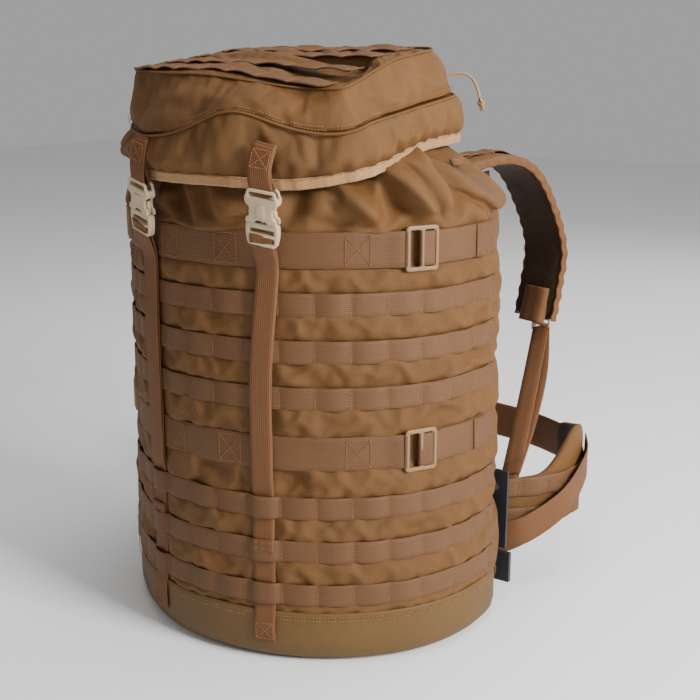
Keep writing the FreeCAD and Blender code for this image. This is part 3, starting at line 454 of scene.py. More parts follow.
def moulded_finish(name, base, rough=0.42, grain_size=1500.0):
    """Moulded polymer: fine spark-eroded texture, painted highlights on the edges, painted shade in the
    hollows and slight colour drift.
    """
    material, tree, shader = nodes_of(name)
    place = object_place(tree)
    grain = cloud(tree, place, grain_size, 3.0)
    drift = cloud(tree, place, 35.0, 3.0)
    # Painted light: pointiness makes convex edges paler as painted highlights and hollows darker as painted
    # shade.
    geometry = node(tree, "ShaderNodeNewGeometry")
    shade = blend_of(tree, (drift, 0.35), (geometry.outputs["Pointiness"], 0.675))
    link(tree, tint(tree, base, shade, 0.7, 1.25), shader.inputs["Base Color"])
    spread = node(tree, "ShaderNodeMapRange")
    set_all(spread, To_Min=rough - 0.08, To_Max=rough + 0.14)
    link(tree, grain, spread.inputs["Value"])
    link(tree, spread.outputs[0], shader.inputs["Roughness"])
    bump(tree, shader, ((grain, 0.35, 0.00012),))
    return material


def metal_finish(name, base, rough=0.35):
    """Brushed metal with long scratches."""
    material, tree, shader = nodes_of(name)
    place = object_place(tree)
    stretch = node(tree, "ShaderNodeMapping")
    stretch.inputs["Scale"].default_value = (1500, 1500, 30)
    link(tree, place, stretch.inputs["Vector"])
    lines = cloud(tree, stretch.outputs[0], 1.0, 3.0)
    link(tree, tint(tree, base, lines, 0.75, 1.15), shader.inputs["Base Color"])
    set_all(shader, Metallic=1.0, Roughness=rough)
    bump(tree, shader, ((lines, 0.2, 0.00008),))
    return material


def cord_finish(name, base):
    """Braided sheath: crossed diagonal strands."""
    material, tree, shader = nodes_of(name)
    axes = axes_of(tree, object_place(tree))
    one = maths(tree, "ADD", axes[0], axes[2])
    two = maths(tree, "SUBTRACT", axes[0], axes[2])
    braid = sines(tree, one, two, 0.0022)
    link(tree, tint(tree, base, braid, 0.55, 1.35), shader.inputs["Base Color"])
    shader.inputs["Roughness"].default_value = 0.7
    bump(tree, shader, ((braid, 0.8, 0.0004),))
    return material


finishes = {}


def finish(name):
    """A finish by its name, made when it is first asked for."""
    palette = colours()
    makers = {
        "fabric": lambda: fabric_finish("coyote_fabric", palette.fabric),
        "webbing": lambda: webbing_finish("tan_webbing", palette.webbing),
        "strap": lambda: webbing_finish("brown_webbing", palette.strap),
        "olive": lambda: coated_finish("coated_base", palette.olive),
        "binding": lambda: elastic_finish("elastic_binding", palette.binding),
        "buckle": lambda: moulded_finish("beige_acetal", palette.buckle),
        "lock": lambda: moulded_finish("tan_acetal", palette.lock),
        "mesh": lambda: mesh_finish("spacer_mesh", palette.mesh),
        "polymer": lambda: moulded_finish("frame_polymer", palette.polymer, 0.5, 700.0),
        "thread": lambda: cord_finish("bonded_thread", palette.thread),
        "alloy": lambda: metal_finish("stay_alloy", (0.56, 0.57, 0.6)),
        "steel": lambda: metal_finish("rivet_steel", (0.42, 0.42, 0.44), 0.3),
        "zip": lambda: webbing_finish("zip_tape", (0.1, 0.055, 0.028)),
        "coil": lambda: moulded_finish("zip_coil", (0.06, 0.035, 0.02)),
        "cord": lambda: cord_finish("braided_cord", (0.36, 0.215, 0.1)),
    }
    if name not in finishes:
        finishes[name] = makers[name]()
    return finishes[name]


# --- mesh helpers

class Shape:
    """Points, faces and texture places gathered for one mesh object."""

    def __init__(self):
        self.points = []
        self.faces = []
        self.marks = []

    def grid(self, rows, marks=None, closed=False, flip=False):
        """Adds a grid of equal rows of points; closed joins the last column to the first."""
        start = len(self.points)
        wide = len(rows[0])
        for number, row in enumerate(rows):
            self.points.extend(row)
            self.marks.extend(marks[number] if marks else [(0.0, 0.0)] * wide)
        last = wide if closed else wide - 1
        for low in range(len(rows) - 1):
            for column in range(last):
                one = start + low * wide + column
                two = start + low * wide + (column + 1) % wide
                face = (one, two, two + wide, one + wide)
                self.faces.append(face[::-1] if flip else face)
        return start

    def fan(self, ring, flip=False):
        face = tuple(ring)
        self.faces.append(face[::-1] if flip else face)

    def lace(self, ring, flip=False):
        """Closes an even ring with quads across it, from its first point's side to the far one."""
        ring = list(ring)
        count = len(ring)
        for one in range(count // 2 - 1):
            face = (ring[one], ring[one + 1], ring[-2 - one], ring[-1 - one])
            self.faces.append(face[::-1] if flip else face)

    def build(self, name, material, flat=False):
        mesh = bpy.data.meshes.new(name)
        mesh.from_pydata([tuple(point) for point in self.points], [], self.faces)
        layer = mesh.uv_layers.new(name="weave")
        for loop in mesh.loops:
            layer.data[loop.index].uv = self.marks[loop.vertex_index]
        mesh.polygons.foreach_set("use_smooth", [not flat] * len(mesh.polygons))
        mesh.update()
        obj = bpy.data.objects.new(name, mesh)
        bpy.context.scene.collection.objects.link(obj)
        obj.data.materials.append(material)
        return obj


def sweep(shape, frames, width, thick, bow=0.0):
    """Webbing swept along frames of (centre, across, out); bow lifts its middle a little."""
    half = width / 2
    lip = thick * 0.5
    outline = [(-half, 0.0), (-half + lip, lip)]
    outline += [(mix(-half + lip, half - lip, step / 6), lip) for step in range(1, 6)]
    outline += [(half - lip, lip), (half, 0.0), (half - lip, -lip)]
    outline += [(mix(half - lip, -half + lip, step / 3), -lip) for step in range(1, 3)]
    outline.append((-half + lip, -lip))
    rows = []
    marks = []
    travel = 0.0
    before = None
    for centre, across, out in frames:
        if before is not None:
            travel += (centre - before).length
        before = centre
        row = []
        for side, rise in outline:
            lift = bow * (1 - (side / half) ** 2)
            row.append(centre + across * side + out * (rise + lift))
        rows.append(row)
        marks.append([(travel, side) for side, rise in outline])
    start = shape.grid(rows, marks, closed=True, flip=True)
    wide = len(outline)
    shape.fan(range(start, start + wide))
    last = start + (len(rows) - 1) * wide
    shape.fan(range(last, last + wide), flip=True)


def tube(shape, frames, radius, corners):
    """A round tube along frames of (centre, across, out)."""
    turns = [2 * pi * corner / corners for corner in range(corners)]
    rings = []
    for centre, across, out in frames:
        rings.append([centre + across * (radius * cos(turn)) + out * (radius * sin(turn)) for turn in turns])
    return shape.grid(rings, closed=True)


def through(points, step):
    """A smooth curve through points, as evenly cut points: Catmull-Rom."""
    points = [Vector(point) for point in points]
    ends = [points[0] * 2 - points[1]] + points + [points[-1] * 2 - points[-2]]
    made = []
    for index in range(1, len(ends) - 2):
        a, b, c, d = ends[index - 1:index + 3]
        cuts = max(2, round((c - b).length / step))
        for cut in range(cuts):
            t = cut / cuts
            made.append(0.5 * (2 * b + (c - a) * t + (2 * a - 5 * b + 4 * c - d) * t * t
                               + (3 * b - a - 3 * c + d) * t ** 3))
    made.append(points[-1])
    return made


def frames_along(points, across, step=0.004):
    """Frames for sweep along a smooth curve; across is the width's direction, or one per point."""
    centres = through(points, step)
    made = []
    for index, centre in enumerate(centres):
        ahead = centres[min(index + 1, len(centres) - 1)] - centres[max(index - 1, 0)]
        ahead.normalize()
        if isinstance(across, tuple):
            wide = across[0].lerp(across[1], index / (len(centres) - 1))
        else:
            wide = Vector(across)
        wide = (wide - ahead * wide.dot(ahead)).normalized()
        made.append((centre, wide, wide.cross(ahead)))
    return made


def flat_frames(run_from, run_to, low, width, out, step=0.0026):
    """Frames of webbing that lies along the bag; out gives the stand-off at a run."""
    count = max(2, round(abs(run_to - run_from) / step))
    made = []
    for index in range(count + 1):
        run = mix(run_from, run_to, index / count)
        bottom = skin(run, low, 0.0)
        top = skin(run, low + width, 0.0)
        across = (top - bottom).normalized()
        normal = normal_at(run, low + width / 2)
        made.append(((bottom + top) / 2 + normal * out(run), across, normal))
    return made


def stitches(shape, points, normals, dash=0.0024, gap=0.0009, thread=None):
    """Thread along a line of points: short raised dashes."""
    thread = thread or sizes().thread
    travel = 0.0
    for (one, two), normal in zip(zip(points, points[1:]), normals):
        run = two - one
        left = run.length
        if left < 1e-6:
            continue
        along = run.normalized()
        side = along.cross(normal).normalized()
        place = travel
        while place < left:
            start = one + along * place
            end = one + along * min(place + dash, left)
            if (end - start).length > dash * 0.4:
                add_dash(shape, start, end, side, normal, thread)
            place += dash + gap
        travel = max(place - left, 0.0)


def add_dash(shape, start, end, side, normal, thread):
    half = thread / 2
    along = (end - start)
    first = len(shape.points)
    for share, grow in ((0.0, 0.35), (0.25, 1.0), (0.75, 1.0), (1.0, 0.35)):
        centre = start + along * share + normal * (half * (1.1 if grow == 1.0 else 0.2))
        for one, two in ((1, 0), (0, 1), (-1, 0), (0, -1)):
            shape.points.append(centre + side * (half * grow * one) + normal * (half * grow * two))
            shape.marks.append((0.0, 0.0))
    for ring in range(3):
        for corner in range(4):
            low = first + ring * 4 + corner
            high = first + ring * 4 + (corner + 1) % 4
            shape.faces.append((low, high, high + 4, low + 4))
    shape.faces.append(tuple(range(first + 3, first - 1, -1)))
    shape.faces.append(tuple(range(first + 12, first + 16)))


def bar_tack(shape, centre, up, normal, tall, wide=0.0016):
    """A tight zigzag across a row of webbing."""
    side = up.cross(normal).normalized()
    count = 11
    points = []
    for index in range(count):
        shift = wide * (1 if index % 2 else -1) * 0.5
        points.append(centre + up * mix(-tall / 2, tall / 2, index / (count - 1)) + side * shift)
    stitches(shape, points, [normal] * count, dash=0.0026, gap=0.0004)


def box_stitch(shape, centre, along, up, normal, long, tall):
    """A stitched box with a cross in it."""
    corners = [centre + along * (x * long / 2) + up * (y * tall / 2)
               for x, y in ((-1, -1), (1, -1), (1, 1), (-1, 1))]
    loop = corners + [corners[0]]
    stitches(shape, loop, [normal] * 4, dash=0.0022, gap=0.0008)
    stitches(shape, [corners[0], corners[2]], [normal], dash=0.0022, gap=0.0008)
    stitches(shape, [corners[1], corners[3]], [normal], dash=0.0022, gap=0.0008)


def plate(name, loops, thick, edge, kind, place, shift=0.0):
    """A moulded plate: closed outlines in local X and Z, rounded edges, thick along local Y."""
    data = bpy.data.curves.new(name, "CURVE")
    data.dimensions = "2D"
    data.fill_mode = "BOTH"
    data.extrude = thick / 2 - edge
    data.bevel_depth = edge
    data.bevel_resolution = 2
    data.offset = -edge
    for loop in loops:
        spline = data.splines.new("POLY")
        spline.points.add(len(loop) - 1)
        for point, (x, z) in zip(spline.points, loop):
            point.co = (x, z, 0, 1)
        spline.use_cyclic_u = True
    curve = bpy.data.objects.new(name, data)
    bpy.context.scene.collection.objects.link(curve)
    bpy.context.view_layer.update()
    mesh = bpy.data.meshes.new_from_object(curve.evaluated_get(bpy.context.evaluated_depsgraph_get()))
    bpy.data.objects.remove(curve)
    bpy.data.curves.remove(data)
    stand = Matrix.Rotation(pi / 2, 4, "X")
    mesh.transform(place @ Matrix.Translation((0, shift, 0)) @ stand)
    mesh.materials.clear()
    mesh.materials.append(finish(kind))
    mesh.polygons.foreach_set("use_smooth", [True] * len(mesh.polygons))
    obj = bpy.data.objects.new(name, mesh)
    bpy.context.scene.collection.objects.link(obj)
    weld = obj.modifiers.new("weld", "WELD")
    weld.merge_threshold = 0.00005
    bake(obj)
    obj.data.set_sharp_from_angle(angle=radians(40))
    return obj


def rounded(left, low, right, high, radius, cuts=4):
    """A rectangle with round corners, as an outline."""
    made = []
    corners = ((right - radius, high - radius, 0), (left + radius, high - radius, 90),
               (left + radius, low + radius, 180), (right - radius, low + radius, 270))
    for x, y, start in corners:
        for cut in range(cuts + 1):
            angle = radians(start + 90 * cut / cuts)
            made.append((x + radius * cos(angle), y + radius * sin(angle)))
    return made


def local_points(place, *pairs):
    """Points of a place's own X and Y plane."""
    return [place @ Vector((x, y, 0)) for x, y in pairs]


def mirrored_outline(half):
    """An outline from its right half, listed from the top down."""
    return half + [(-x, z) for x, z in reversed(half) if abs(x) > 1e-6]


def bake(obj):
    """Applies the object's modifiers."""
    bpy.context.view_layer.update()
    graph = bpy.context.evaluated_depsgraph_get()
    mesh = bpy.data.meshes.new_from_object(obj.evaluated_get(graph))
    obj.modifiers.clear()
    old = obj.data
    obj.data = mesh
    bpy.data.meshes.remove(old)
    return obj


def join(name, parts):
    """One mesh object from several, with their materials."""
    base = parts[0]
    with bpy.context.temp_override(active_object=base, selected_editable_objects=parts, object=base,
                                   selected_objects=parts):
        bpy.ops.object.join()
    base.name = name
    base.data.name = name
    return base


def sew(shape, name, kind, body, slot_name, *cad_nodes):
    """Builds a gathered shape in a finish and puts it on its body."""
    return belong(shape.build(name, finish(kind)), body, slot_name, *cad_nodes)


def belong(obj, body, slot_name, *cad_nodes):
    """Rides a finished piece on its body and hides the nodes it stands for."""
    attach(obj, body)
    if cad_nodes:
        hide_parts(*cad_nodes)
    return obj


def simulate(obj, pins, frames, pressure=0.0, shrink=0.0, shrink_top=None, fullness=None,
             bending=0.6, limit=0.014, gravity=0.0, mass=0.25):
    """Cloth run on a mesh and applied: pins hold, negative shrink adds cloth to fold."""
    start = [vertex.co.copy() for vertex in obj.data.vertices]
    group = obj.vertex_groups.new(name="pins")
    for index, weight in enumerate(pins):
        group.add([index], weight, "REPLACE")
    cloth = obj.modifiers.new("cloth", "CLOTH")
    settings = cloth.settings
    settings.vertex_group_mass = "pins"
    settings.quality = 6
    settings.mass = mass
    settings.tension_stiffness = 20
    settings.compression_stiffness = 20
    settings.shear_stiffness = 8
    settings.bending_stiffness = bending
    settings.air_damping = 2
    settings.use_pressure = pressure != 0.0
    settings.uniform_pressure_force = pressure
    settings.shrink_min = shrink
    if fullness is not None:
        extra = obj.vertex_groups.new(name="fullness")
        for index, weight in enumerate(fullness):
            extra.add([index], weight, "REPLACE")
        settings.vertex_group_shrink = "fullness"
        settings.shrink_max = shrink_top
    settings.effector_weights.gravity = gravity
    cloth.collision_settings.use_collision = False
    cloth.collision_settings.use_self_collision = False
    scene = bpy.context.scene
    cloth.point_cache.frame_start = 1
    cloth.point_cache.frame_end = frames
    for step in range(1, frames + 1):
        scene.frame_set(step)
    bake(obj)
    scene.frame_set(1)
    for vertex, first in zip(obj.data.vertices, start):
        move = vertex.co - first
        if move.length > limit:
            vertex.co = first + move.normalized() * (limit + (move.length - limit) * 0.15)
    obj.vertex_groups.clear()
    return obj


def subdivide(obj, levels=1):
    modifier = obj.modifiers.new("smooth", "SUBSURF")
    modifier.levels = levels
    modifier.render_levels = levels
    return bake(obj)


def cushion(rows, flip, name, body, cad_node):
    """A foam cushion closed from its rings: fabric outside, spacer mesh on the wearer's side."""
    corners = len(rows[0])
    last = (len(rows) - 1) * corners
    shape = Shape()
    shape.grid(rows, closed=True, flip=flip)
    shape.fan(range(corners), flip=not flip)
    shape.fan(range(last, last + corners), flip=flip)
    made = shape.build(name, finish("fabric"))
    made.data.materials.append(finish("mesh"))
    for face in made.data.polygons:
        inside = corners // 2 + 1 <= face.index % corners < corners - 2
        face.material_index = 1 if inside and face.index < last else 0
    subdivide(made)
    belong(made, body, "bag_fabric", cad_node)


# --- the bag's cloth

def row_lows():
    return LOWER_ROWS + UPPER_ROWS


# Large folds of the shoulder: run and height of both ends, width and depth of the step.
FOLDS = (
    (0.186, 0.545, 0.218, 0.478, 0.013, 0.013),
    (0.222, 0.548, 0.246, 0.488, 0.009, -0.01),
    (0.338, 0.556, 0.284, 0.5, 0.011, 0.011),
    (0.256, 0.535, 0.262, 0.492, 0.008, 0.008),
    (0.33, 0.52, 0.372, 0.486, 0.01, -0.008),
    (0.12, 0.53, 0.092, 0.482, 0.011, 0.008),
    (0.01, 0.525, 0.048, 0.483, 0.01, -0.008),
    (-0.06, 0.53, -0.03, 0.484, 0.011, 0.008),
    (-0.15, 0.54, -0.12, 0.486, 0.012, 0.01),
    (-0.24, 0.545, -0.28, 0.488, 0.011, 0.011),
    (-0.33, 0.55, -0.3, 0.49, 0.012, -0.01),
    (0.43, 0.54, 0.4, 0.49, 0.012, 0.008),
    (-0.42, 0.54, -0.4, 0.49, 0.012, 0.008),
)


def folds_at(run, z):
    """Stand-off of the shoulder's large folds: each a ridge beside a valley, fading at its ends."""
    out = 0.0
    for run0, z0, run1, z1, wide, deep in FOLDS:
        along = Vector((run1 - run0, z1 - z0))
        place = Vector((run - run0, z - z0))
        share = place.dot(along) / along.length_squared
        gap = (place.x * along.y - place.y * along.x) / along.length / wide
        fade = smooth((share + 0.25) / 0.35) * smooth((1.25 - share) / 0.35)
        out += deep * fade * gap * exp(0.5 - gap * gap / 2)
    return out


def under_webbing(run, z):
    """True where webbing is sewn over the cloth."""
    margin = 0.001
    if abs(run) < ROW_REACH:
        for low in row_lows():
            if low + margin < z < low + sizes().webbing - margin:
                return True
        for low in BANDS.values():
            if low + margin < z < low + sizes().band - margin:
                return True
    return False


def strap_press(run, z):
    """How much the front straps hold the cloth down here, from 0 to 1."""
    gap = abs(abs(run) - sizes().strap_spread)
    hold = 1 - smooth((gap - sizes().webbing * 0.5) / 0.012)
    return hold * (1 - smooth((z - BANDS["upper"] - 0.02) / 0.03))


def make_bag_rim():
    """The turned hem of the collar, slightly scalloped by its gathers."""
    rows = []
    columns = 180
    for corner in range(8):
        angle = 2 * pi * corner / 8
        row = []
        for column in range(columns):
            run = mix(-REFERENCE.reach, REFERENCE.reach, column / columns)
            out = 0.002 * sin(run * HEM_WAVE) + 0.0022 * cos(angle)
            row.append(skin(run, RIM - 0.006 + 0.005 * sin(angle), out))
        rows.append(row)
    rows.append(rows[0])
    shape = Shape()
    shape.grid(rows, closed=True, flip=True)
    sew(shape, "collar_hem", "fabric", "pack", "bag_fabric")


def make_bag_floor():
    """The bag's inner floor and the cloth down to it."""
    shape = Shape()
    columns = 120
    rows = []
    for z, out in ((0.034, -0.002), (0.014, -0.005), (0.007, -0.018), (0.006, -0.06), (0.006, -0.125)):
        rows.append([skin(mix(-REFERENCE.reach, REFERENCE.reach, column / columns), z, out)
                     for column in range(columns)])
    start = shape.grid(rows, closed=True, flip=True)
    last = start + (len(rows) - 1) * columns
    shape.fan(range(last, last + columns), flip=True)
    sew(shape, "bag_floor", "fabric", "pack", "bag_fabric")


def make_shoulder_tabs():
    """Two small webbing tabs sewn on the right shoulder and their pair on the left."""
    shape = Shape()
    thread = Shape()
    for side in (1, -1):
        for run, z in ((0.262, 0.528), (0.362, 0.54)):
            centre = skin(side * run, z, 0.009)
            normal = normal_at(run * side, z)
            along = UP.cross(normal)
            tilt = (UP - normal * 0.9).normalized()
            points = [centre - along * 0.013, centre + normal * 0.002, centre + along * 0.013]
            sweep(shape, frames_along(points, tilt), 0.01, sizes().ply)
            box_stitch(thread, centre + normal * 0.003, along, tilt, normal, 0.021, 0.006)
    sew(shape, "shoulder_tabs", "webbing", "pack", "webbing_tan")
    sew(thread, "shoulder_tab_thread", "thread", "pack", "webbing_tan")


class BACKPACK_OT_bag(bpy.types.Operator):
    """Makes the bag's cloth: held under every row of webbing, full between them"""

    bl_idname = "backpack.bag"
    bl_label = "Bag"

    def execute(self, context):
        step = sizes().cloth_step
        reach = REFERENCE.reach
        columns = round(2 * reach / step)
        bottom = 0.03
        count = round((RIM - bottom) / step)
        runs = [mix(-reach, reach, column / columns) for column in range(columns)]
        heights = [mix(bottom, RIM, row / count) for row in range(count + 1)]
        rows = []
        marks = []
        pins = []
        fullness = []
        for z in heights:
            row = []
            upper = smooth((z - SHOULDER + 0.005) / 0.03)
            for run in runs:
                held = under_webbing(run, z) or z < 0.06 or z > RIM - 0.004
                held = held or (abs(run) > 0.43 and z < SHOULDER)
                ripple = crease(run * 17, z * 30 + run * 5, 3.0)
                fold = crease(run * 8 + z * 13, z * 9 - run * 3, 9.0)
                out = -0.0006 if held else 0.0026 + 0.0014 * ripple + upper * 0.0035 * fold
                if z > SHOULDER and not held:
                    rise = (z - SHOULDER) / (RIM - SHOULDER)
                    out += 0.012 * sin(pi * min(rise * 1.7, 1.0)) * smooth((run + 0.1) / 0.4)
                    out += folds_at(run, z) * smooth(rise * 6) * smooth((1 - rise) * 4)
                if z > RIM - 0.004:
                    out = 0.002 * sin(run * HEM_WAVE)
                row.append(skin(run, z, out))
                pins.append(1.0 if held else 0.0)
                fullness.append(upper)
            rows.append(row)
            marks.append([(run, z) for run in runs])
        shape = Shape()
        shape.grid(rows, marks, closed=True)
        bag = shape.build("bag_cloth", finish("fabric"))
        simulate(bag, pins, 26, pressure=1.5, shrink=-0.075, shrink_top=-0.16, fullness=fullness,
                 bending=0.15, limit=0.013)
        wide = len(runs)
        for index, vertex in enumerate(bag.data.vertices):
            run = runs[index % wide]
            z = heights[index // wide]
            hold = strap_press(run, z)
            low = skin(run, z, 0.0005)
            vertex.co = vertex.co.lerp(Vector((low.x, low.y, vertex.co.z)), 0.85 * hold)
        subdivide(bag)
        belong(bag, "pack", "bag_fabric", "main_bag")
        make_bag_rim()
        make_bag_floor()
        make_shoulder_tabs()
        return {"FINISHED"}


class BACKPACK_OT_base(bpy.types.Operator):
    """Makes the coated base panel with its rounded bottom edge and its stitched top edge"""

    bl_idname = "backpack.base"
    bl_label = "Base panel"

    def execute(self, context):
        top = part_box("base_panel")[1][2]
        profile = ((0.0, -0.125), (0.0, -0.06), (0.0002, -0.024), (0.002, -0.01), (0.006, -0.004),
                   (0.012, 0.0), (0.022, 0.0022), (0.034, 0.0026), (0.046, 0.0026), (0.055, 0.003),
                   (top - 0.002, 0.0034), (top, 0.0026), (top - 0.001, 0.0008))
        columns = 320
        runs = [mix(-REFERENCE.reach, REFERENCE.reach, column / columns) for column in range(columns)]
        rows = []
        for z, out in profile:
            row = []
            for run in runs:
                swell = noise_at(run * 18, z * 30, 5.0) * 0.0016 * smooth(z / 0.02)
                swell *= 1 - smooth((z - 0.045) / 0.012)
                row.append(skin(run, z, out + swell))
            rows.append(row)
        shape = Shape()
        start = shape.grid(rows, closed=True)
        shape.fan(range(start, start + columns), flip=True)
        sew(shape, "base_cloth", "olive", "pack", "base_olive", "base_panel")
        thread = Shape()
        for drop in (0.0045, 0.0085):
            line = [skin(run, top - drop, 0.0044) for run in runs if abs(run) < 0.44]
            stitches(thread, line, [normal_at(run, top) for run in runs if abs(run) < 0.44])
        sew(thread, "base_thread", "thread", "pack", "base_olive")
        return {"FINISHED"}


# --- webbing on the bag

def tack_runs():
    """Runs of the bar tacks along a row: every pitch, half a pitch off the middle."""
    pitch = sizes().stitch_pitch
    count = int((ROW_REACH - pitch / 2) / pitch)
    right = [pitch * (number + 0.5) for number in range(count + 1)]
    return [-run for run in reversed(right)] + right


def row_out(run, seed, woven):
    """Stand-off of a row: down at its bar tacks, puffed between them, over a woven strap."""
    pitch = sizes().stitch_pitch
    share = (run / pitch - 0.5) % 1.0
    puff = sin(pi * share) ** 0.8
    amount = sizes().row_puff * (0.75 + 0.7 * noise_at(run * 21, seed * 3.7, 1.0))
    out = 0.0016 + amount * puff
    if woven:
        gap = abs(abs(run) - sizes().strap_spread)
        out += 0.003 * (1 - smooth((gap - 0.009) / 0.009))
    return out


class BACKPACK_OT_rows(bpy.types.Operator):
    """Makes the rows of attachment webbing and their bar tacks"""

    bl_idname = "backpack.rows"
    bl_label = "Webbing rows"

    def execute(self, context):
        tacks = tack_runs()
        for group, lows, woven in (("lower", LOWER_ROWS, True), ("upper", UPPER_ROWS, False)):
            shape = Shape()
            thread = Shape()
            for number, low in enumerate(lows):
                seed = number + (5 if woven else 0)

                def out(run):
                    return row_out(run, seed, woven)

                sweep(shape, flat_frames(-ROW_REACH, ROW_REACH, low, sizes().webbing, out),
                      sizes().webbing, sizes().ply)
                for run in tacks:
                    middle = low + sizes().webbing / 2
                    centre = skin(run, middle, out(run) + sizes().ply / 2)
                    bar_tack(thread, centre, UP, normal_at(run, middle), sizes().webbing * 0.9)
            sew(shape, f"rows_{group}", "webbing", "pack", "webbing_tan",
                   f"webbing_rows_{group}")
            sew(thread, f"row_thread_{group}", "thread", "pack", "webbing_tan")
        return {"FINISHED"}


def make_side_strap(name, low, side_name, side):
    """The strap from a ladder lock to the back corner, and its folded tail on top."""
    wide = sizes().band * 0.94
    ply = sizes().ply
    shape = Shape()
    first = LOCK_RUN + 0.003
    low += sizes().band * 0.03

    def lower_ply(run):
        return 0.0017 + 0.004 * (1 - smooth((abs(run) - first - 0.008) / 0.02))

    def upper_ply(run):
        lift = 0.0042 * (1 - smooth((abs(run) - first - 0.006) / 0.022))
        return 0.0038 + lift + 0.0016 * smooth((abs(run) - 0.318) / 0.02)

    ends = (side * first, side * (ROW_REACH + 0.004))
    sweep(shape, flat_frames(*ends, low, wide, lower_ply), wide, ply)
    ends = (side * (first - 0.006), side * 0.345)
    sweep(shape, flat_frames(*ends, low, wide, upper_ply), wide, ply)
    ends = (side * 0.322, side * 0.347)
    sweep(shape, flat_frames(*ends, low, wide, lambda run: upper_ply(run) + ply * 1.05), wide, ply)
    sew(shape, f"{name}_side_strap_{side_name}", "webbing", "pack", "webbing_tan",
           f"{name}_strap_{side_name}")
    thread = Shape()
    middle = low + wide / 2
    for run in (0.327, 0.342):
        centre = skin(side * run, middle, upper_ply(run) + ply * 1.7)
        normal = normal_at(side * run, middle)
        bar_tack(thread, centre, UP, normal, wide * 0.85, 0.0008)
    sew(thread, f"{name}_tail_thread_{side_name}", "thread", "pack", "webbing_tan")


class BACKPACK_OT_bands(bpy.types.Operator):
    """Makes the wide compression bands, the straps behind the ladder locks and their tails"""

    bl_idname = "backpack.bands"
    bl_label = "Compression bands"

    def execute(self, context):
        wide = sizes().band
        ply = sizes().ply
        bar = LOCK_RUN - 0.016
        for name, low in BANDS.items():
            seed = 2.0 if name == "lower" else 8.0
            shape = Shape()
            thread = Shape()

            def out(run):
                wave = noise_at(run * 16, seed, 0.0) * 0.0012
                rise = 0.0034 * smooth((abs(run) - 0.205) / 0.022)
                return 0.0017 + abs(wave) + rise

            sweep(shape, flat_frames(-bar, bar, low, wide, out), wide, ply)
            for run in (-0.178, -0.038, 0.038, 0.178):
                middle = low + wide / 2
                normal = normal_at(run, middle)
                centre = skin(run, middle, out(run) + ply / 2)
                box_stitch(thread, centre, UP.cross(normal), UP, normal, 0.026, wide * 0.8)
            sew(shape, f"{name}_front_band", "webbing", "pack", "webbing_tan",
                   f"{name}_band")
            sew(thread, f"{name}_band_thread", "thread", "pack", "webbing_tan")
            for side_name, side in SIDES:
                make_side_strap(name, low, side_name, side)
        return {"FINISHED"}


class BACKPACK_OT_locks(bpy.types.Operator):
    """Makes the ladder locks at the ends of the compression bands"""

    bl_idname = "backpack.locks"
    bl_label = "Ladder locks"

    def execute(self, context):
        long, tall = 0.038, 0.047
        bar = 0.005
        for name, low in BANDS.items():
            middle = low + sizes().band / 2
            for side_name, side in SIDES:
                run = side * LOCK_RUN
                normal = normal_at(run, middle)
                along = UP.cross(normal)
                place = Matrix((along, -normal, UP)).transposed().to_4x4()
                place.translation = skin(run, middle, 0.0056)
                windows = []
                slot_wide = (long - 3 * bar) / 2
                for number in range(2):
                    left = -long / 2 + bar + number * (slot_wide + bar)
                    windows.append(rounded(left, -tall / 2 + 0.0045, left + slot_wide, tall / 2 - 0.0045,
                                           0.0018))
                outer = rounded(-long / 2, -tall / 2, long / 2, tall / 2, 0.0042)
                frame_part = plate("lock", [outer] + windows, 0.0042, 0.0011, "lock", place)
                parts = [frame_part]
                for shift in (-long / 2 + bar / 2, 0.0, long / 2 - bar / 2):
                    high = tall / 2 - 0.005
                    rib = rounded(shift - 0.0017, -high, shift + 0.0017, high, 0.0016)
                    parts.append(plate("rib", [rib], 0.0026, 0.0009, "lock", place, -0.0019))
                lock = join(f"{name}_ladder_lock_{side_name}", parts)
                belong(lock, f"{name}_lock_body_{side_name}", "lock_tan", f"{name}_lock_{side_name}")
        return {"FINISHED"}


def strap_point(side, z, lift):
    """A point of a front strap, which leans outwards near the top."""
    lean = 0.011 if side > 0 else 0.001
    return skin(side * sizes().strap_spread + lean * smooth((z - 0.3) / 0.17), z, lift)


def make_strap_thread(side_name, side, bottom):
    thread = Shape()
    normal = normal_at(side * sizes().strap_spread, 0.1)
    along = UP.cross(normal)
    for z in (bottom + 0.004, bottom + 0.011):
        centre = strap_point(side, z, 0.0082)
        bar_tack(thread, centre, along, normal, sizes().webbing * 0.82, 0.0008)
    centre = strap_point(side, 0.038, 0.0062)
    box_stitch(thread, centre, along, UP, normal, sizes().webbing * 0.8, 0.018)
    sew(thread, f"strap_thread_{side_name}", "thread", "pack", "webbing_brown")


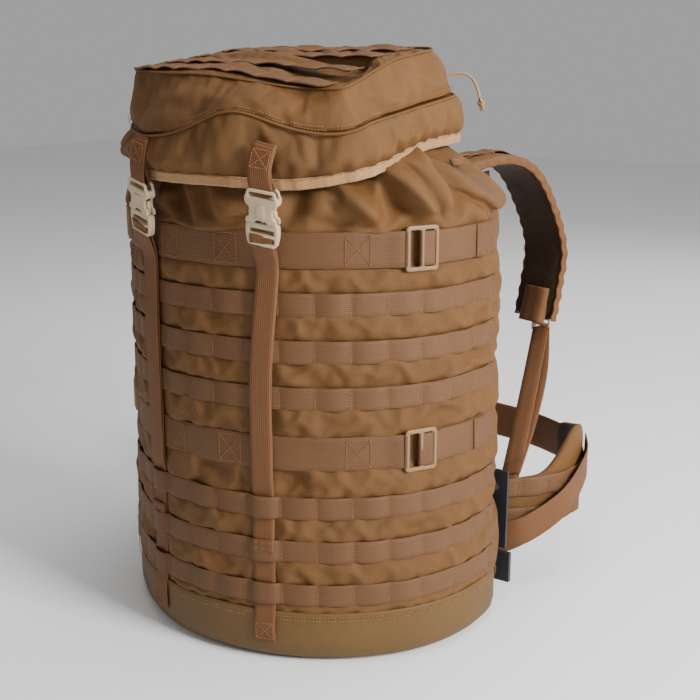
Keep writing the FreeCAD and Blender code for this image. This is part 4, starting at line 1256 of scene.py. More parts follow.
class BACKPACK_OT_front_straps(bpy.types.Operator):
    """Makes the two straps down the front: woven under the lower rows, loose tail on top"""

    bl_idname = "backpack.front_straps"
    bl_label = "Front straps"

    def execute(self, context):
        ply = sizes().ply
        wide = sizes().webbing
        for side_name, side in SIDES:
            across = Vector((side, 0.0, 0.0)).lerp(UP.cross(normal_at(side * 0.076, 0.3)) * side, 0.9)
            sewn = [strap_point(side, z, out) for z, out in (
                (0.026, 0.0046), (0.05, 0.0056), (0.066, 0.003), (0.083, 0.0012), (0.1, 0.0026),
                (0.12, 0.0014), (0.133, 0.0012), (0.15, 0.0026), (0.17, 0.0014), (0.183, 0.0012),
                (0.205, 0.0034), (0.225, 0.005), (0.263, 0.005), (0.292, 0.0062), (0.342, 0.0062),
                (0.392, 0.0062), (0.425, 0.0056), (0.448, 0.007))]
            place = buckle_place(side)
            sewn.append(place @ Vector((0, 0.0012, -0.0225)))
            shape = Shape()
            sweep(shape, frames_along(sewn, across, 0.0035), wide, ply)
            sew(shape, f"sewn_strap_{side_name}", "strap", "pack", "webbing_brown",
                f"front_strap_{side_name}")
            bottom = 0.132 if side > 0 else 0.142
            loose = [strap_point(side, z, out) for z, out in (
                (bottom, 0.005), (0.15, 0.0048), (0.168, 0.0032), (0.183, 0.003), (0.198, 0.0036),
                (0.215, 0.0066), (0.245, 0.0072), (0.275, 0.0078), (0.33, 0.0086), (0.385, 0.0088),
                (0.425, 0.0078), (0.446, 0.0092))]
            loose.append(place @ Vector((0, -0.003, -0.0245)))
            loose.append(place @ Vector((0, -0.005, -0.013)))
            shape = Shape()
            sweep(shape, frames_along(loose, across, 0.0035), wide * 0.98, ply)
            hem = [strap_point(side, z, 0.0068) for z in (bottom - 0.0005, bottom + 0.007, bottom + 0.014)]
            sweep(shape, frames_along(hem, across, 0.003), wide * 0.98, ply)
            sew(shape, f"loose_tail_{side_name}", "strap", "pack", "webbing_brown",
                f"strap_tail_{side_name}")
            make_strap_thread(side_name, side, bottom)
        return {"FINISHED"}


# --- the lid

HINGE = Vector(next(joint["pos_m"] for joint in frame["joints"] if joint["name"] == "lid_hinge"))
LID_TILT = radians(6.9)
LID_PLACE = Matrix.Translation(HINGE) @ Matrix.Rotation(LID_TILT, 4, "X")
LID_TURN = LID_PLACE.to_3x3()
LID_HALF = 0.173
LID_DEPTH = 0.278


def lid_plan(widen, lengthen, radius, angle, corner=0.03, back=0.0):
    return Plan(LID_HALF + widen, -LID_DEPTH - lengthen, back, radius, angle, corner)


SKIRT_PLANS = (
    (0.002, lid_plan(0.0, 0.0, 0.25, 40)),
    (0.025, lid_plan(0.008, 0.007, 0.258, 40)),
    (0.052, lid_plan(0.001, 0.001, 0.27, 36)),
)
POCKET_PLANS = (
    (0.0515, lid_plan(-0.001, 0.001, 0.29, 32, 0.03, -0.004)),
    (0.066, lid_plan(-0.004, -0.009, 0.36, 25, 0.03, -0.005)),
    (0.082, lid_plan(-0.009, -0.022, 0.43, 20, 0.03, -0.007)),
    (0.096, lid_plan(-0.015, -0.036, 0.48, 18, 0.03, -0.011)),
    (0.104, lid_plan(-0.019, -0.043, 0.5, 17, 0.03, -0.016)),
)
POCKET_FOOT = 0.0515
POCKET_TOP = 0.104
LID_ROW_REACH = LID_HALF - 0.034


def lid_row_fronts():
    """The front edges of the webbing rows on the lid's top."""
    return [-LID_DEPTH + 0.054 + ROW_PITCH * number for number in range(4)]


def row_share(y):
    """How far back a place is between one row's front edge and the next one's, from 0 to 1."""
    first = lid_row_fronts()[0]
    return ((y - first) / ROW_PITCH) % 1.0 if first < y < first + ROW_PITCH * 3.5 else 0.9


def hump(value, middle, reach):
    return exp(-((value - middle) / reach) ** 2)


def lid_rest(point):
    """Where a point of the lid's pattern lies on the empty pack: seam arched, corners sunk."""
    x, y, z = point
    above = min(max((z - POCKET_FOOT) / 0.0525, 0.0), 1.0)
    below = 1 - min(max(z / POCKET_FOOT, 0.0), 1.0)
    front = smooth((-0.19 - y) / 0.06)
    arch = front * (0.021 * hump(x, 0.062, 0.05) - 0.01 * (1 - hump(x, 0.062, 0.1)))
    lift = arch * (1 - above) * (1 - below)
    lift -= below * (0.008 * hump(x, 0.1, 0.07) * front)
    lift += below * 0.007 * hump(y, -0.1, 0.06) * smooth(x / 0.05)
    lift -= 0.017 * above * smooth((x + 0.02) / 0.17) * smooth((-0.1 - y) / 0.13)
    moved = slump(Vector((x, y, z + lift)))
    moved.x += 0.012 * (1 - above) * smooth((z - 0.03) / 0.02) * smooth((-x - 0.05) / 0.1)
    return moved


def between_plans(levels, z):
    """The plan at a height of the lid, smooth between its levels."""
    if z <= levels[0][0]:
        return levels[0][1]
    for (low, one), (high, two) in zip(levels, levels[1:]):
        if z <= high:
            share = (z - low) / (high - low)
            return Plan(*(mix(a, b, share) for a, b in zip(one.values, two.values)))
    return levels[-1][1]


def lid_point(levels, share, z, out=0.0):
    """A point on the lid: share of the way round from the middle of the back, height, stand-off."""
    plan = between_plans(levels, z)
    run = mix(-plan.reach, plan.reach, share)
    index, part = plan.locate(run)
    point, normal = plan.place(index, part, 1 if run >= 0 else -1)
    return Vector((point.x + normal.x * out, point.y + normal.y * out, z)), Vector((normal.x, normal.y, 0))


def gather_at(share):
    """The skirt's gathers at a share of the way round, from -1 to 1."""
    return sin(2 * pi * share * 46 + 2.2 * noise_at(share * 30, 1.0, 0.0))


def make_skirt():
    columns = 250
    count = 11
    rows = []
    pins = []
    fullness = []
    for number in range(count):
        z = mix(0.003, 0.0535, number / (count - 1))
        low = 1 - smooth((z - 0.004) / 0.03)
        row = []
        for column in range(columns):
            share = column / columns
            drift = noise_at(share * 17, z * 22, 2.0)
            middle = sin(pi * number / (count - 1))
            free = smooth((z - 0.011) / 0.006)
            pleat = crease(share * 34, z * 22, 7.0)
            full = (0.004 + 0.006 * drift + 0.003 * pleat) * middle
            out = free * (0.0042 * low * gather_at(share) + full)
            row.append(lid_rest(lid_point(SKIRT_PLANS, share, z, out)[0]))
            held = z < 0.012 or number == count - 1
            pins.append(1.0 if held else 0.0)
            fullness.append(low)
        rows.append(row)
    for inset in (0.004, 0.014):
        rows.append([lid_rest(lid_point(SKIRT_PLANS, column / columns, 0.0525, -inset)[0])
                     for column in range(columns)])
        pins.extend([1.0] * columns)
        fullness.extend([0.0] * columns)
    shape = Shape()
    shape.grid(rows, closed=True)
    skirt = shape.build("lid_skirt_cloth", finish("fabric"))
    simulate(skirt, pins, 22, pressure=1.2, shrink=-0.06, shrink_top=-0.12, fullness=fullness,
             bending=0.3, limit=0.009)
    subdivide(skirt)
    skirt.data.transform(LID_PLACE)
    belong(skirt, "lid", "bag_fabric", "lid_skirt")


def make_hem():
    """The elastic binding, puckered along the skirt's lower edge."""
    frames = []
    columns = 520
    for column in range(columns + 1):
        share = column / columns
        pucker = 0.0005 * gather_at(share) + 0.0002 * sin(2 * pi * share * 150)
        point, normal = lid_point(SKIRT_PLANS, share, 0.006, 0.0026 + pucker)
        point = lid_rest(point)
        tilt = (UP + normal * 0.1).normalized()
        frames.append((LID_PLACE @ point, LID_TURN @ tilt, LID_TURN @ normal))
    shape = Shape()
    sweep(shape, frames, 0.0118, 0.0022)
    sew(shape, "elastic_hem", "binding", "lid", "binding_tan", "hem_binding")
    thread = Shape()
    line = [centre + across * 0.0045 + out * 0.0012 for centre, across, out in frames[::2]]
    stitches(thread, line, [out for centre, across, out in frames[::2]])
    sew(thread, "hem_thread", "thread", "lid", "binding_tan")


def make_pocket():
    """The pocket's side wall and crowned top, as one closed piece of cloth."""
    columns = 240
    side_rows = 11
    rows = []
    pins = []
    for number in range(side_rows):
        share = number / (side_rows - 1)
        z = mix(POCKET_FOOT, POCKET_TOP, share)
        row = []
        held = []
        for column in range(columns):
            point, normal = lid_point(POCKET_PLANS, column / columns, z)
            sag = noise_at(point.x * 16, point.y * 16, z * 30)
            hold = sin(pi * share)
            fold = crease(column / columns * 11 + z * 14, z * 15, 21.0)
            row.append(lid_rest(point + normal * (0.004 * sag + 0.0022 * fold - 0.002) * hold))
            corner = abs(abs(point.x) - 0.15) < 0.01 and point.y < -0.215
            held.append(1.0 if number in (0, side_rows - 1) or corner else 0.0)
        rows.append(row)
        pins.append(held)
    middle_y = sum(point.y for point in rows[-1]) / columns
    edge = rows[-1]
    top_rows = 30
    for number in range(1, top_rows):
        share = number / top_rows
        row = []
        held = []
        for point in edge:
            spot = Vector((point.x * mix(1.0, 0.82, share), mix(point.y, middle_y, share), point.z))
            on_row = row_share(spot.y) < 0.5 and abs(spot.x) < LID_ROW_REACH
            spot.z += 0.0025 * smooth(share * 8) - (0.0 if on_row else 0.0008)
            row.append(spot)
            held.append(1.0 if on_row else 0.0)
        rows.append(row)
        pins.append(held)
    shape = Shape()
    start = shape.grid(rows, closed=True)
    shape.lace(range(start, start + columns), flip=True)
    shape.lace(range(start + (len(rows) - 1) * columns, start + len(rows) * columns))
    pocket = shape.build("lid_pocket_cloth", finish("fabric"))
    simulate(pocket, [pin for row in pins for pin in row], 20, pressure=1.6, shrink=-0.045,
             bending=0.8, limit=0.008)
    subdivide(pocket)
    pocket.data.transform(LID_PLACE)
    belong(pocket, "lid", "bag_fabric", "lid_pocket")
    piping = Shape()
    for z, out, radius in ((0.0525, 0.0022, 0.0017), (0.1035, 0.0006, 0.0015)):
        rings = []
        for corner in range(6):
            angle = 2 * pi * corner / 6
            ring = []
            for column in range(320):
                point, normal = lid_point(POCKET_PLANS, column / 320, z, out)
                point = lid_rest(point)
                ring.append(LID_PLACE @ (point + normal * (radius * cos(angle))
                                         + UP * (radius * sin(angle))))
            rings.append(ring)
        rings.append(rings[0])
        piping.grid(rings, closed=True, flip=True)
    sew(piping, "lid_seams", "fabric", "lid", "bag_fabric")
    thread = Shape()
    for rise in (0.006, 0.0105):
        line = []
        for column in range(321):
            point, normal = lid_point(POCKET_PLANS, column / 320, POCKET_FOOT + rise, 0.0026)
            line.append((lid_rest(point), normal))
        stitches(thread, [LID_PLACE @ point for point, normal in line],
                 [LID_TURN @ normal for point, normal in line])
    sew(thread, "lid_thread", "thread", "lid", "bag_fabric")


def make_lid_rows():
    """Webbing across the top, puffed into loops between its bar tacks."""
    shape = Shape()
    thread = Shape()
    reach = LID_ROW_REACH
    pitch = sizes().stitch_pitch
    base = 0.1062
    for number, front in enumerate(lid_row_fronts()):
        middle = front + sizes().webbing / 2
        frames = []
        for cut in range(141):
            x = mix(-reach, reach, cut / 140)
            share = (x / pitch - 0.5) % 1.0
            puff = 0.003 * sin(pi * share) ** 0.8
            puff *= 0.7 + 0.6 * noise_at(x * 20, number * 3.0, 0.0)
            lean = 0.14 * noise_at(x * 30, number * 7.0, 2.0)
            point = lid_rest(Vector((x, middle, base + puff)))
            across = Vector((0, 1, lean)).normalized()
            out = across.cross(Vector((-1, 0, 0)))
            frames.append((LID_PLACE @ point, LID_TURN @ across, LID_TURN @ out))
        sweep(shape, frames, sizes().webbing * 1.04, sizes().ply)
        count = int(reach / pitch)
        for step in range(-count - 1, count + 1):
            x = pitch * (step + 0.5)
            if abs(x) < reach:
                centre = LID_PLACE @ lid_rest(Vector((x, middle, base + 0.001)))
                bar_tack(thread, centre, LID_TURN @ BACKWARD, LID_TURN @ UP, sizes().webbing * 0.9)
    sew(shape, "lid_rows", "webbing", "lid", "webbing_tan", "lid_webbing_rows")
    sew(thread, "lid_row_thread", "thread", "lid", "webbing_tan")


def make_gusset():
    """The cloth that joins the lid to the bag's back, bending at the hinge."""
    rows = []
    for share in range(9):
        z = mix(HINGE.z - 0.05, HINGE.z + 0.016, share / 8)
        back = mix(0.1415, HINGE.y - 0.0005, smooth(share / 7))
        row = []
        for column in range(61):
            x = mix(-0.15, 0.15, column / 60)
            ruck = 0.0008 * sin(x * 210 + share) + 0.0014 * noise_at(x * 30, z * 40, 0)
            row.append(Vector((x, back + ruck, z)))
        rows.append(row)
    shape = Shape()
    shape.grid(rows, flip=True)
    gusset = shape.build("lid_gusset", finish("fabric"))
    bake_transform(gusset)


class BACKPACK_OT_lid(bpy.types.Operator):
    """Makes the lid: a full top pocket over a skirt gathered into an elastic hem"""

    bl_idname = "backpack.lid"
    bl_label = "Lid"

    def execute(self, context):
        make_skirt()
        make_hem()
        make_pocket()
        make_lid_rows()
        make_gusset()
        return {"FINISHED"}


# --- buckles

# The sagging lid carries its buckles a little to the right.
BUCKLE_SHIFT = {1: 0.008, -1: 0.018}


def buckle_place(side):
    """Local Z runs up through a lid buckle from its mating plane; local -Y faces forward."""
    turn = Matrix.Rotation(radians(12 * side), 4, "Z")
    lean = Matrix.Rotation(radians(12.4), 4, "X")
    roll = Matrix.Rotation(radians(11 - 3 * side), 4, "Y")
    return Matrix.Translation((0.086 * side + BUCKLE_SHIFT[side], -0.146, 0.493)) @ roll @ turn @ lean


def make_socket(side_name, place):
    """Two skins with waisted sides, joined along their edges, and a bar for the tab."""
    skin_half = [(0.0, 0.0345), (0.0125, 0.0345), (0.0155, 0.0325), (0.0162, 0.029),
                 (0.0178, 0.0262), (0.018, 0.0215), (0.0166, 0.0182), (0.0132, 0.0158),
                 (0.0122, 0.011), (0.0132, 0.0066), (0.0162, 0.0044), (0.0172, 0.001),
                 (0.0166, -0.0012), (0.008, -0.0012), (0.0048, 0.0018), (0.0, 0.0024)]
    slot = rounded(-0.0132, 0.0262, 0.0132, 0.0312, 0.0016)
    parts = []
    for shift in (-0.0042, 0.0042):
        parts.append(plate("skin", [mirrored_outline(skin_half), slot], 0.003, 0.001,
                           "buckle", place, shift))
    bridge = mirrored_outline([(0.0, 0.0262), (0.0172, 0.0262), (0.0176, 0.0212), (0.015, 0.0178),
                               (0.0, 0.0178)])
    parts.append(plate("bridge", [bridge], 0.008, 0.001, "buckle", place))
    ridge = rounded(-0.0045, 0.005, 0.0045, 0.019, 0.002)
    parts.append(plate("ridge", [ridge], 0.0016, 0.0006, "buckle",
                       place, -0.006))
    socket = join(f"socket_{side_name}", parts)
    belong(socket, "lid", "buckle_beige", f"buckle_socket_{side_name}")


def make_plug(side_name, place):
    """Prong heads that fill the socket's waist, a guide between them and an adjuster."""
    parts = []
    for side in (-1, 1):
        prong = [(0.009, -0.002), (0.0094, 0.0075), (0.0112, 0.012), (0.0126, 0.014),
                 (0.0142, 0.0125), (0.0152, 0.0095), (0.0148, 0.0066), (0.013, 0.005),
                 (0.0126, -0.002)]
        outline = [(side * x, z) for x, z in prong]
        parts.append(plate("prong", [outline], 0.0052, 0.0009, "buckle", place))
    parts.append(plate("guide", [rounded(-0.0022, -0.002, 0.0022, 0.013, 0.001)], 0.0034, 0.0007,
                       "buckle", place))
    block_half = [(0.0, -0.0014), (0.0155, -0.0014), (0.0176, -0.0034), (0.018, -0.011),
                  (0.0172, -0.018), (0.016, -0.024), (0.0135, -0.0262), (0.0, -0.0262)]
    windows = [rounded(-0.0134, -0.0122, 0.0134, -0.0076, 0.0012),
               rounded(-0.0134, -0.0216, 0.0134, -0.0162, 0.0012)]
    parts.append(plate("block", [mirrored_outline(block_half)] + windows, 0.0078, 0.0012,
                       "buckle", place))
    for low in (-0.015, -0.0248):
        bar = rounded(-0.014, low, 0.014, low + 0.0022, 0.001)
        parts.append(plate("grip", [bar], 0.002, 0.0008, "buckle",
                           place, -0.0044))
    plug = join(f"plug_{side_name}", parts)
    belong(plug, f"plug_{side_name}", "buckle_beige", f"buckle_plug_{side_name}")


def make_tab(side_name, side, place):
    """The webbing loop that holds a socket to the lid's front seam."""
    shape = Shape()
    across = place.to_3x3() @ Vector((1, 0, 0))
    foot = place @ Vector((0, 0.0, 0.029))
    front = place @ Vector((0, -0.0034, 0.033))
    rear = place @ Vector((0, 0.0034, 0.033))
    shift = BUCKLE_SHIFT[side]
    top = Vector((0.094 * side + shift + 0.008 - 0.008 * side, -0.1525, 0.568))
    middle = Vector((0.09 * side + shift + 0.005 - 0.005 * side, -0.157, 0.544))
    points = [foot, front, middle, top]
    sweep(shape, frames_along(points, across, 0.003), sizes().webbing, sizes().ply)
    points = [foot, rear, middle + Vector((0, 0.0022, 0)), top + Vector((0, 0.003, 0.002))]
    sweep(shape, frames_along(points, across, 0.003), sizes().webbing, sizes().ply)
    sew(shape, f"tab_{side_name}", "strap", "lid", "webbing_brown", f"lid_tab_{side_name}")
    thread = Shape()
    up = (top - middle).normalized()
    normal = across.cross(up)
    normal = normal if normal.y < 0 else -normal
    centre = middle.lerp(top, 0.45) + normal * 0.0022
    box_stitch(thread, centre, across, up, normal, 0.019, 0.018)
    sew(thread, f"tab_thread_{side_name}", "thread", "lid", "webbing_brown")


class BACKPACK_OT_buckles(bpy.types.Operator):
    """Makes the side-release buckles under the lid and their webbing tabs"""

    bl_idname = "backpack.buckles"
    bl_label = "Lid buckles"

    def execute(self, context):
        for side_name, side in SIDES:
            place = buckle_place(side)
            make_socket(side_name, place)
            make_plug(side_name, place)
            make_tab(side_name, side, place)
        return {"FINISHED"}


# --- zip and pull cord

def make_slider():
    low, high = corners_of("zip_slider")
    place = LID_PLACE.to_3x3().to_4x4()
    place.translation = Vector((low.x + 0.0045, (low.y + high.y) / 2, (low.z + high.z) / 2))
    body = [(0.0042, 0.003), (0.003, 0.0052), (0.0, 0.004), (-0.003, 0.0052), (-0.0042, 0.003),
            (-0.0034, -0.0045), (0.0034, -0.0045)]
    parts = [plate("slider", [body], 0.0034, 0.0008, "steel", place)]
    loop = [rounded(0.001, -0.003, 0.0128, 0.003, 0.0024),
            rounded(0.0085, -0.0016, 0.0112, 0.0016, 0.0012)]
    parts.append(plate("tab", loop, 0.0014, 0.0004, "steel",
                       place, 0.0016))
    belong(join("slider", parts), "zip_pull", "zip_dark", "zip_slider")


def make_cord():
    route = ((0.1493, 0.1215, 0.629), (0.16, 0.125, 0.633), (0.173, 0.13, 0.6315),
             (0.182, 0.1335, 0.621), (0.1845, 0.136, 0.607))
    data = bpy.data.curves.new("pull_cord", "CURVE")
    data.dimensions = "3D"
    spline = data.splines.new("NURBS")
    spline.points.add(len(route) - 1)
    for point, place in zip(spline.points, route):
        point.co = (*place, 1.0)
    spline.order_u = 3
    spline.use_endpoint_u = True
    spline.resolution_u = 12
    data.bevel_depth = 0.0015
    data.bevel_resolution = 4
    data.use_fill_caps = True
    data.materials.append(finish("cord"))
    cord = bpy.data.objects.new("pull_cord", data)
    bpy.context.scene.collection.objects.link(cord)
    knot = make_knot(Vector(route[-1]), Vector(route[-2]))
    belong(cord, "zip_pull", "cord_tan", "zip_cord")


def make_knot(end, before):
    """An overhand knot: a trefoil of the same cord drawn tight, with two short ends."""
    fall = (end - before).normalized()
    side = fall.cross(BACKWARD).normalized()
    depth = fall.cross(side)
    shape = Shape()
    centre = end + fall * 0.0065
    frames = []
    count = 72
    corners = 8
    path = []
    for step in range(count):
        t = 2 * pi * step / count
        x = (sin(t) + 2 * sin(2 * t)) * 0.00105
        z = (cos(t) - 2 * cos(2 * t)) * 0.0015
        y = -sin(3 * t) * 0.0012
        path.append(centre + side * x + fall * z + depth * y)
    for step in range(count + 1):
        here = path[step % count]
        ahead = (path[(step + 1) % count] - path[(step - 1) % count]).normalized()
        one = ahead.cross(depth).normalized()
        frames.append((here, one, ahead.cross(one)))
    tube(shape, frames, 0.0014, corners)
    for shift in (-0.0014, 0.0014):
        tail = [centre + fall * 0.003 + side * shift * 0.5, centre + fall * 0.0065 + side * shift,
                centre + fall * 0.0095 + side * shift * 1.3]
        frames = frames_along(tail, depth, 0.001)
        start = tube(shape, frames, 0.0013, corners)
        shape.fan(range(start + (len(frames) - 1) * corners, start + len(frames) * corners))
    return sew(shape, "cord_knot", "cord", "zip_pull", "cord_tan", "zip_knot")


class BACKPACK_OT_zip(bpy.types.Operator):
    """Makes the lid's zip, its slider and the knotted cord on it"""

    bl_idname = "backpack.zip"
    bl_label = "Zip"

    def execute(self, context):
        low, high = corners_of("zip_track")
        inverse = LID_PLACE.inverted()
        back = (inverse @ Vector((0, (low.y + high.y) / 2, (low.z + high.z) / 2)))
        shape = Shape()
        frames = []
        for cut in range(141):
            x = mix(low.x, high.x, cut / 140)
            frames.append((LID_PLACE @ Vector((x, back.y, back.z)), LID_TURN @ UP, LID_TURN @ BACKWARD))
        sweep(shape, frames, 0.0138, 0.0014)
        sew(shape, "zip_tape", "zip", "lid", "zip_dark", "zip_track")
        teeth = Shape()
        count = 190
        for number in range(count):
            x = mix(low.x + 0.001, high.x - 0.001, number / (count - 1))
            side = 0.0008 if number % 2 else -0.0008
            one = LID_PLACE @ Vector((x, back.y + 0.001, back.z + side - 0.0014))
            two = LID_PLACE @ Vector((x, back.y + 0.001, back.z + side + 0.0014))
            add_dash(teeth, one, two, LID_TURN @ Vector((1, 0, 0)), LID_TURN @ BACKWARD, 0.0011)
        sew(teeth, "zip_teeth", "coil", "lid", "zip_dark")
        make_slider()
        make_cord()
        return {"FINISHED"}


# --- frame and pads

def make_back_pad(name):
    """A spacer mesh pad with two channels, crowned by its foam."""
    low, high = corners_of(name)
    wide = high.x - low.x
    tall = high.z - low.z
    step = 0.007
    columns = round(wide / step)
    count = round(tall / step)
    rows = []
    pins = []
    channels = (-wide * 0.17, wide * 0.17)
    for row in range(count + 1):
        line = []
        for column in range(columns + 1):
            u = column / columns
            v = row / count
            edge = min(u, 1 - u) * wide
            rim = min(edge, min(v, 1 - v) * tall)
            x = mix(low.x, high.x, u)
            groove = min(abs(x - channel) for channel in channels)
            rise = smooth(rim / 0.022) * (0.35 + 0.65 * smooth(groove / 0.016))
            line.append(Vector((x, mix(low.y + 0.001, high.y - 0.003, rise), mix(low.z, high.z, v))))
            pins.append(1.0 if rim < 0.002 or groove < step * 0.6 else 0.0)
        rows.append(line)
    shape = Shape()
    shape.grid(rows, flip=True)
    pad = shape.build(f"{name}_cushion", finish("mesh"))
    simulate(pad, pins, 16, pressure=1.5, shrink=-0.02, bending=1.5, limit=0.004)
    subdivide(pad)
    belong(pad, "pack", "mesh_dark", name)
    rim = Shape()
    corner = [Vector((low.x, 0, low.z)), Vector((high.x, 0, low.z)), Vector((high.x, 0, high.z)),
              Vector((low.x, 0, high.z))]
    for one, two in zip(corner, corner[1:] + corner[:1]):
        points = [point + Vector((0, low.y + 0.004, 0)) for point in (one, one.lerp(two, 0.5), two)]
        sweep(rim, frames_along(points, BACKWARD, 0.01), 0.008, 0.002)
    sew(rim, f"{name}_binding", "strap", "pack", "webbing_brown")


class BACKPACK_OT_frame(bpy.types.Operator):
    """Finishes the frame's own pieces and makes the pads on it"""

    bl_idname = "backpack.frame"
    bl_label = "Frame and back pads"

    def execute(self, context):
        wanted = {"frame_sheet": "polymer", "lumbar_plate": "polymer", "lower_bar": "polymer",
                  "frame_stay_right": "alloy", "frame_stay_left": "alloy", "lumbar_rivets": "steel"}
        for name, kind in wanted.items():
            obj = frame["nodes"][name]
            obj.data.materials.clear()
            obj.data.materials.append(finish(kind))
            edge = obj.modifiers.new("edge", "BEVEL")
            edge.width = 0.0008
            edge.segments = 2
            edge.limit_method = "ANGLE"
        make_back_pad("back_pad")
        make_back_pad("lumbar_pad")
        return {"FINISHED"}


# --- shoulder harness

PAD_ROUTE = ((0.0, -0.034), (0.006, 0.000), (0.024, 0.032), (0.07, 0.044), (0.125, 0.046),
             (0.168, 0.026), (0.203, -0.022), (0.224, -0.074), (0.219, -0.12), (0.208, -0.17))


def harness_place(side):
    """Local X points away from the back, local Y up, local Z across the strap."""
    name = "harness_swing_right" if side > 0 else "harness_swing_left"
    joint = next(joint for joint in frame["joints"] if joint["name"] == name)
    splay = radians(17)
    away = Vector((side * sin(splay), cos(splay), 0))
    across = away.cross(UP)
    place = Matrix((away, UP, across)).transposed().to_4x4()
    place.translation = Vector(joint["pos_m"])
    return place


def make_shoulder_pad(side_name, side, place):
    """A foam strap: crowned faces, edges drawn in by a binding, mesh inside."""
    centres = through([Vector((x, y, 0)) for x, y in PAD_ROUTE], 0.006)
    wide = 0.068
    thick = 0.014
    corners = 22
    rows = []
    for index, centre in enumerate(centres):
        ahead = centres[min(index + 1, len(centres) - 1)] - centres[max(index - 1, 0)]
        ahead.normalize()
        out = Vector((ahead.y * -1, ahead.x, 0))
        share = index / (len(centres) - 1)
        end = smooth(min(share, 1 - share) / 0.03)
        half = wide / 2 * mix(0.9, 1.0, end)
        row = []
        for corner in range(corners):
            angle = 2 * pi * corner / corners
            x = copysign(abs(cos(angle)) ** 0.5, cos(angle)) * half
            y = copysign(abs(sin(angle)) ** 0.75, sin(angle)) * thick / 2
            y *= mix(0.7, 1.0, end)
            dent = 0.0008 * noise_at(share * 20, corner * 0.6, side)
            row.append(place @ (centre + out * (thick / 2 + y + dent) + Vector((0, 0, x))))
        rows.append(row)
    cushion(rows, True, f"shoulder_cushion_{side_name}", f"harness_{side_name}",
            f"shoulder_pad_{side_name}")


def make_ladder(side_name, place):
    """Binding along both edges and a webbing ladder down the outer face."""
    shape = Shape()
    thread = Shape()
    turn = place.to_3x3()
    centres = through([Vector((x, y, 0)) for x, y in PAD_ROUTE], 0.004)
    frames = {"ladder": [], "front": [], "rear": []}
    pitch = sizes().stitch_pitch
    travel = 0.0
    for index, centre in enumerate(centres):
        ahead = centres[min(index + 1, len(centres) - 1)] - centres[max(index - 1, 0)]
        travel += ahead.length / 2
        ahead.normalize()
        out = Vector((-ahead.y, ahead.x, 0))
        puff = 0.0022 * abs(sin(pi * travel / pitch))
        wave = 0.0012 * sin(4 * pi * travel / pitch)
        ladder = centre + out * (0.0148 + puff)
        frames["ladder"].append((place @ ladder, turn @ Vector((0, 0, 1)), turn @ out))
        for name, sign in (("front", -1), ("rear", 1)):
            edge = centre + out * 0.007 + Vector((0, 0, sign * (0.0335 + wave)))
            frames[name].append((place @ edge, turn @ out, turn @ Vector((0, 0, -sign))))
    sweep(shape, frames["ladder"], sizes().webbing, sizes().ply)
    sew(shape, f"strap_ladder_{side_name}", "webbing", f"harness_{side_name}", "webbing_tan")
    shape = Shape()
    for name in ("front", "rear"):
        sweep(shape, frames[name], 0.0115, 0.0022)
    sew(shape, f"strap_binding_{side_name}", "strap", f"harness_{side_name}", "webbing_brown")
    for number, (centre, across, out) in enumerate(frames["ladder"]):
        if number % 9 == 4:
            bar_tack(thread, centre + out * 0.0009, across, out, sizes().webbing * 0.85)
    sew(thread, f"strap_tacks_{side_name}", "thread", f"harness_{side_name}", "webbing_tan")


def make_strap_end(side_name, place):
    """The stiff folded end below the cushion, sewn round the buckle's webbing."""
    shape = Shape()
    points = local_points(place, (0.2195, -0.128), (0.2145, -0.15), (0.2065, -0.176))
    across = place.to_3x3() @ Vector((0, 0, 1))
    sweep(shape, frames_along(points, across, 0.003), 0.046, 0.017, bow=0.001)
    sew(shape, f"strap_end_{side_name}", "strap", f"harness_{side_name}", "webbing_brown")


def make_lifter(side_name, place):
    """The load lifter from the bag's upper corner to the strap, with its loose end."""
    shape = Shape()
    across = place.to_3x3() @ Vector((0, 0, 1))
    points = local_points(place, (-0.03, 0.058), (0.0, 0.06), (0.05, 0.061), (0.104, 0.0605),
                          (0.128, 0.054))
    sweep(shape, frames_along(points, across), sizes().webbing, sizes().ply)
    lifter = shape.build(f"lifter_{side_name}", finish("strap"))
    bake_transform(lifter)
    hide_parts(f"load_lifter_{side_name}")


def make_strap_buckle(side_name, side):
    """The strap buckle: a plug and socket with slots at both ends."""
    low, high = corners_of(f"strap_buckle_{side_name}")
    middle = (low + high) / 2
    turn = Matrix.Rotation(radians(-17 * side), 4, "Z") @ Matrix.Rotation(radians(-12), 4, "X")
    spot = Matrix.Translation(middle) @ turn
    half = [(0.0, 0.0265), (0.014, 0.0265), (0.0165, 0.0235), (0.0168, 0.012), (0.0128, 0.007),
            (0.0126, 0.0000), (0.016, -0.004), (0.0166, -0.015), (0.015, -0.0262), (0.0, -0.0262)]
    windows = [rounded(-0.0128, low_edge, 0.0128, high_edge, 0.0012)
               for low_edge, high_edge in ((0.0178, 0.0226), (-0.014, -0.0096), (-0.023, -0.0184))]
    parts = [plate("half", [mirrored_outline(half)] + windows, 0.008, 0.0012, "buckle", spot)]
    for sign in (-1, 1):
        head = [(sign * x, z) for x, z in ((0.0108, -0.002), (0.015, 0.0005), (0.0156, 0.005),
                                           (0.013, 0.0095), (0.0108, 0.0085))]
        parts.append(plate("head", [head], 0.006, 0.0009, "buckle", spot))
    belong(join(f"webbing_buckle_{side_name}", parts), f"harness_{side_name}", "buckle_beige",
           f"strap_buckle_{side_name}")


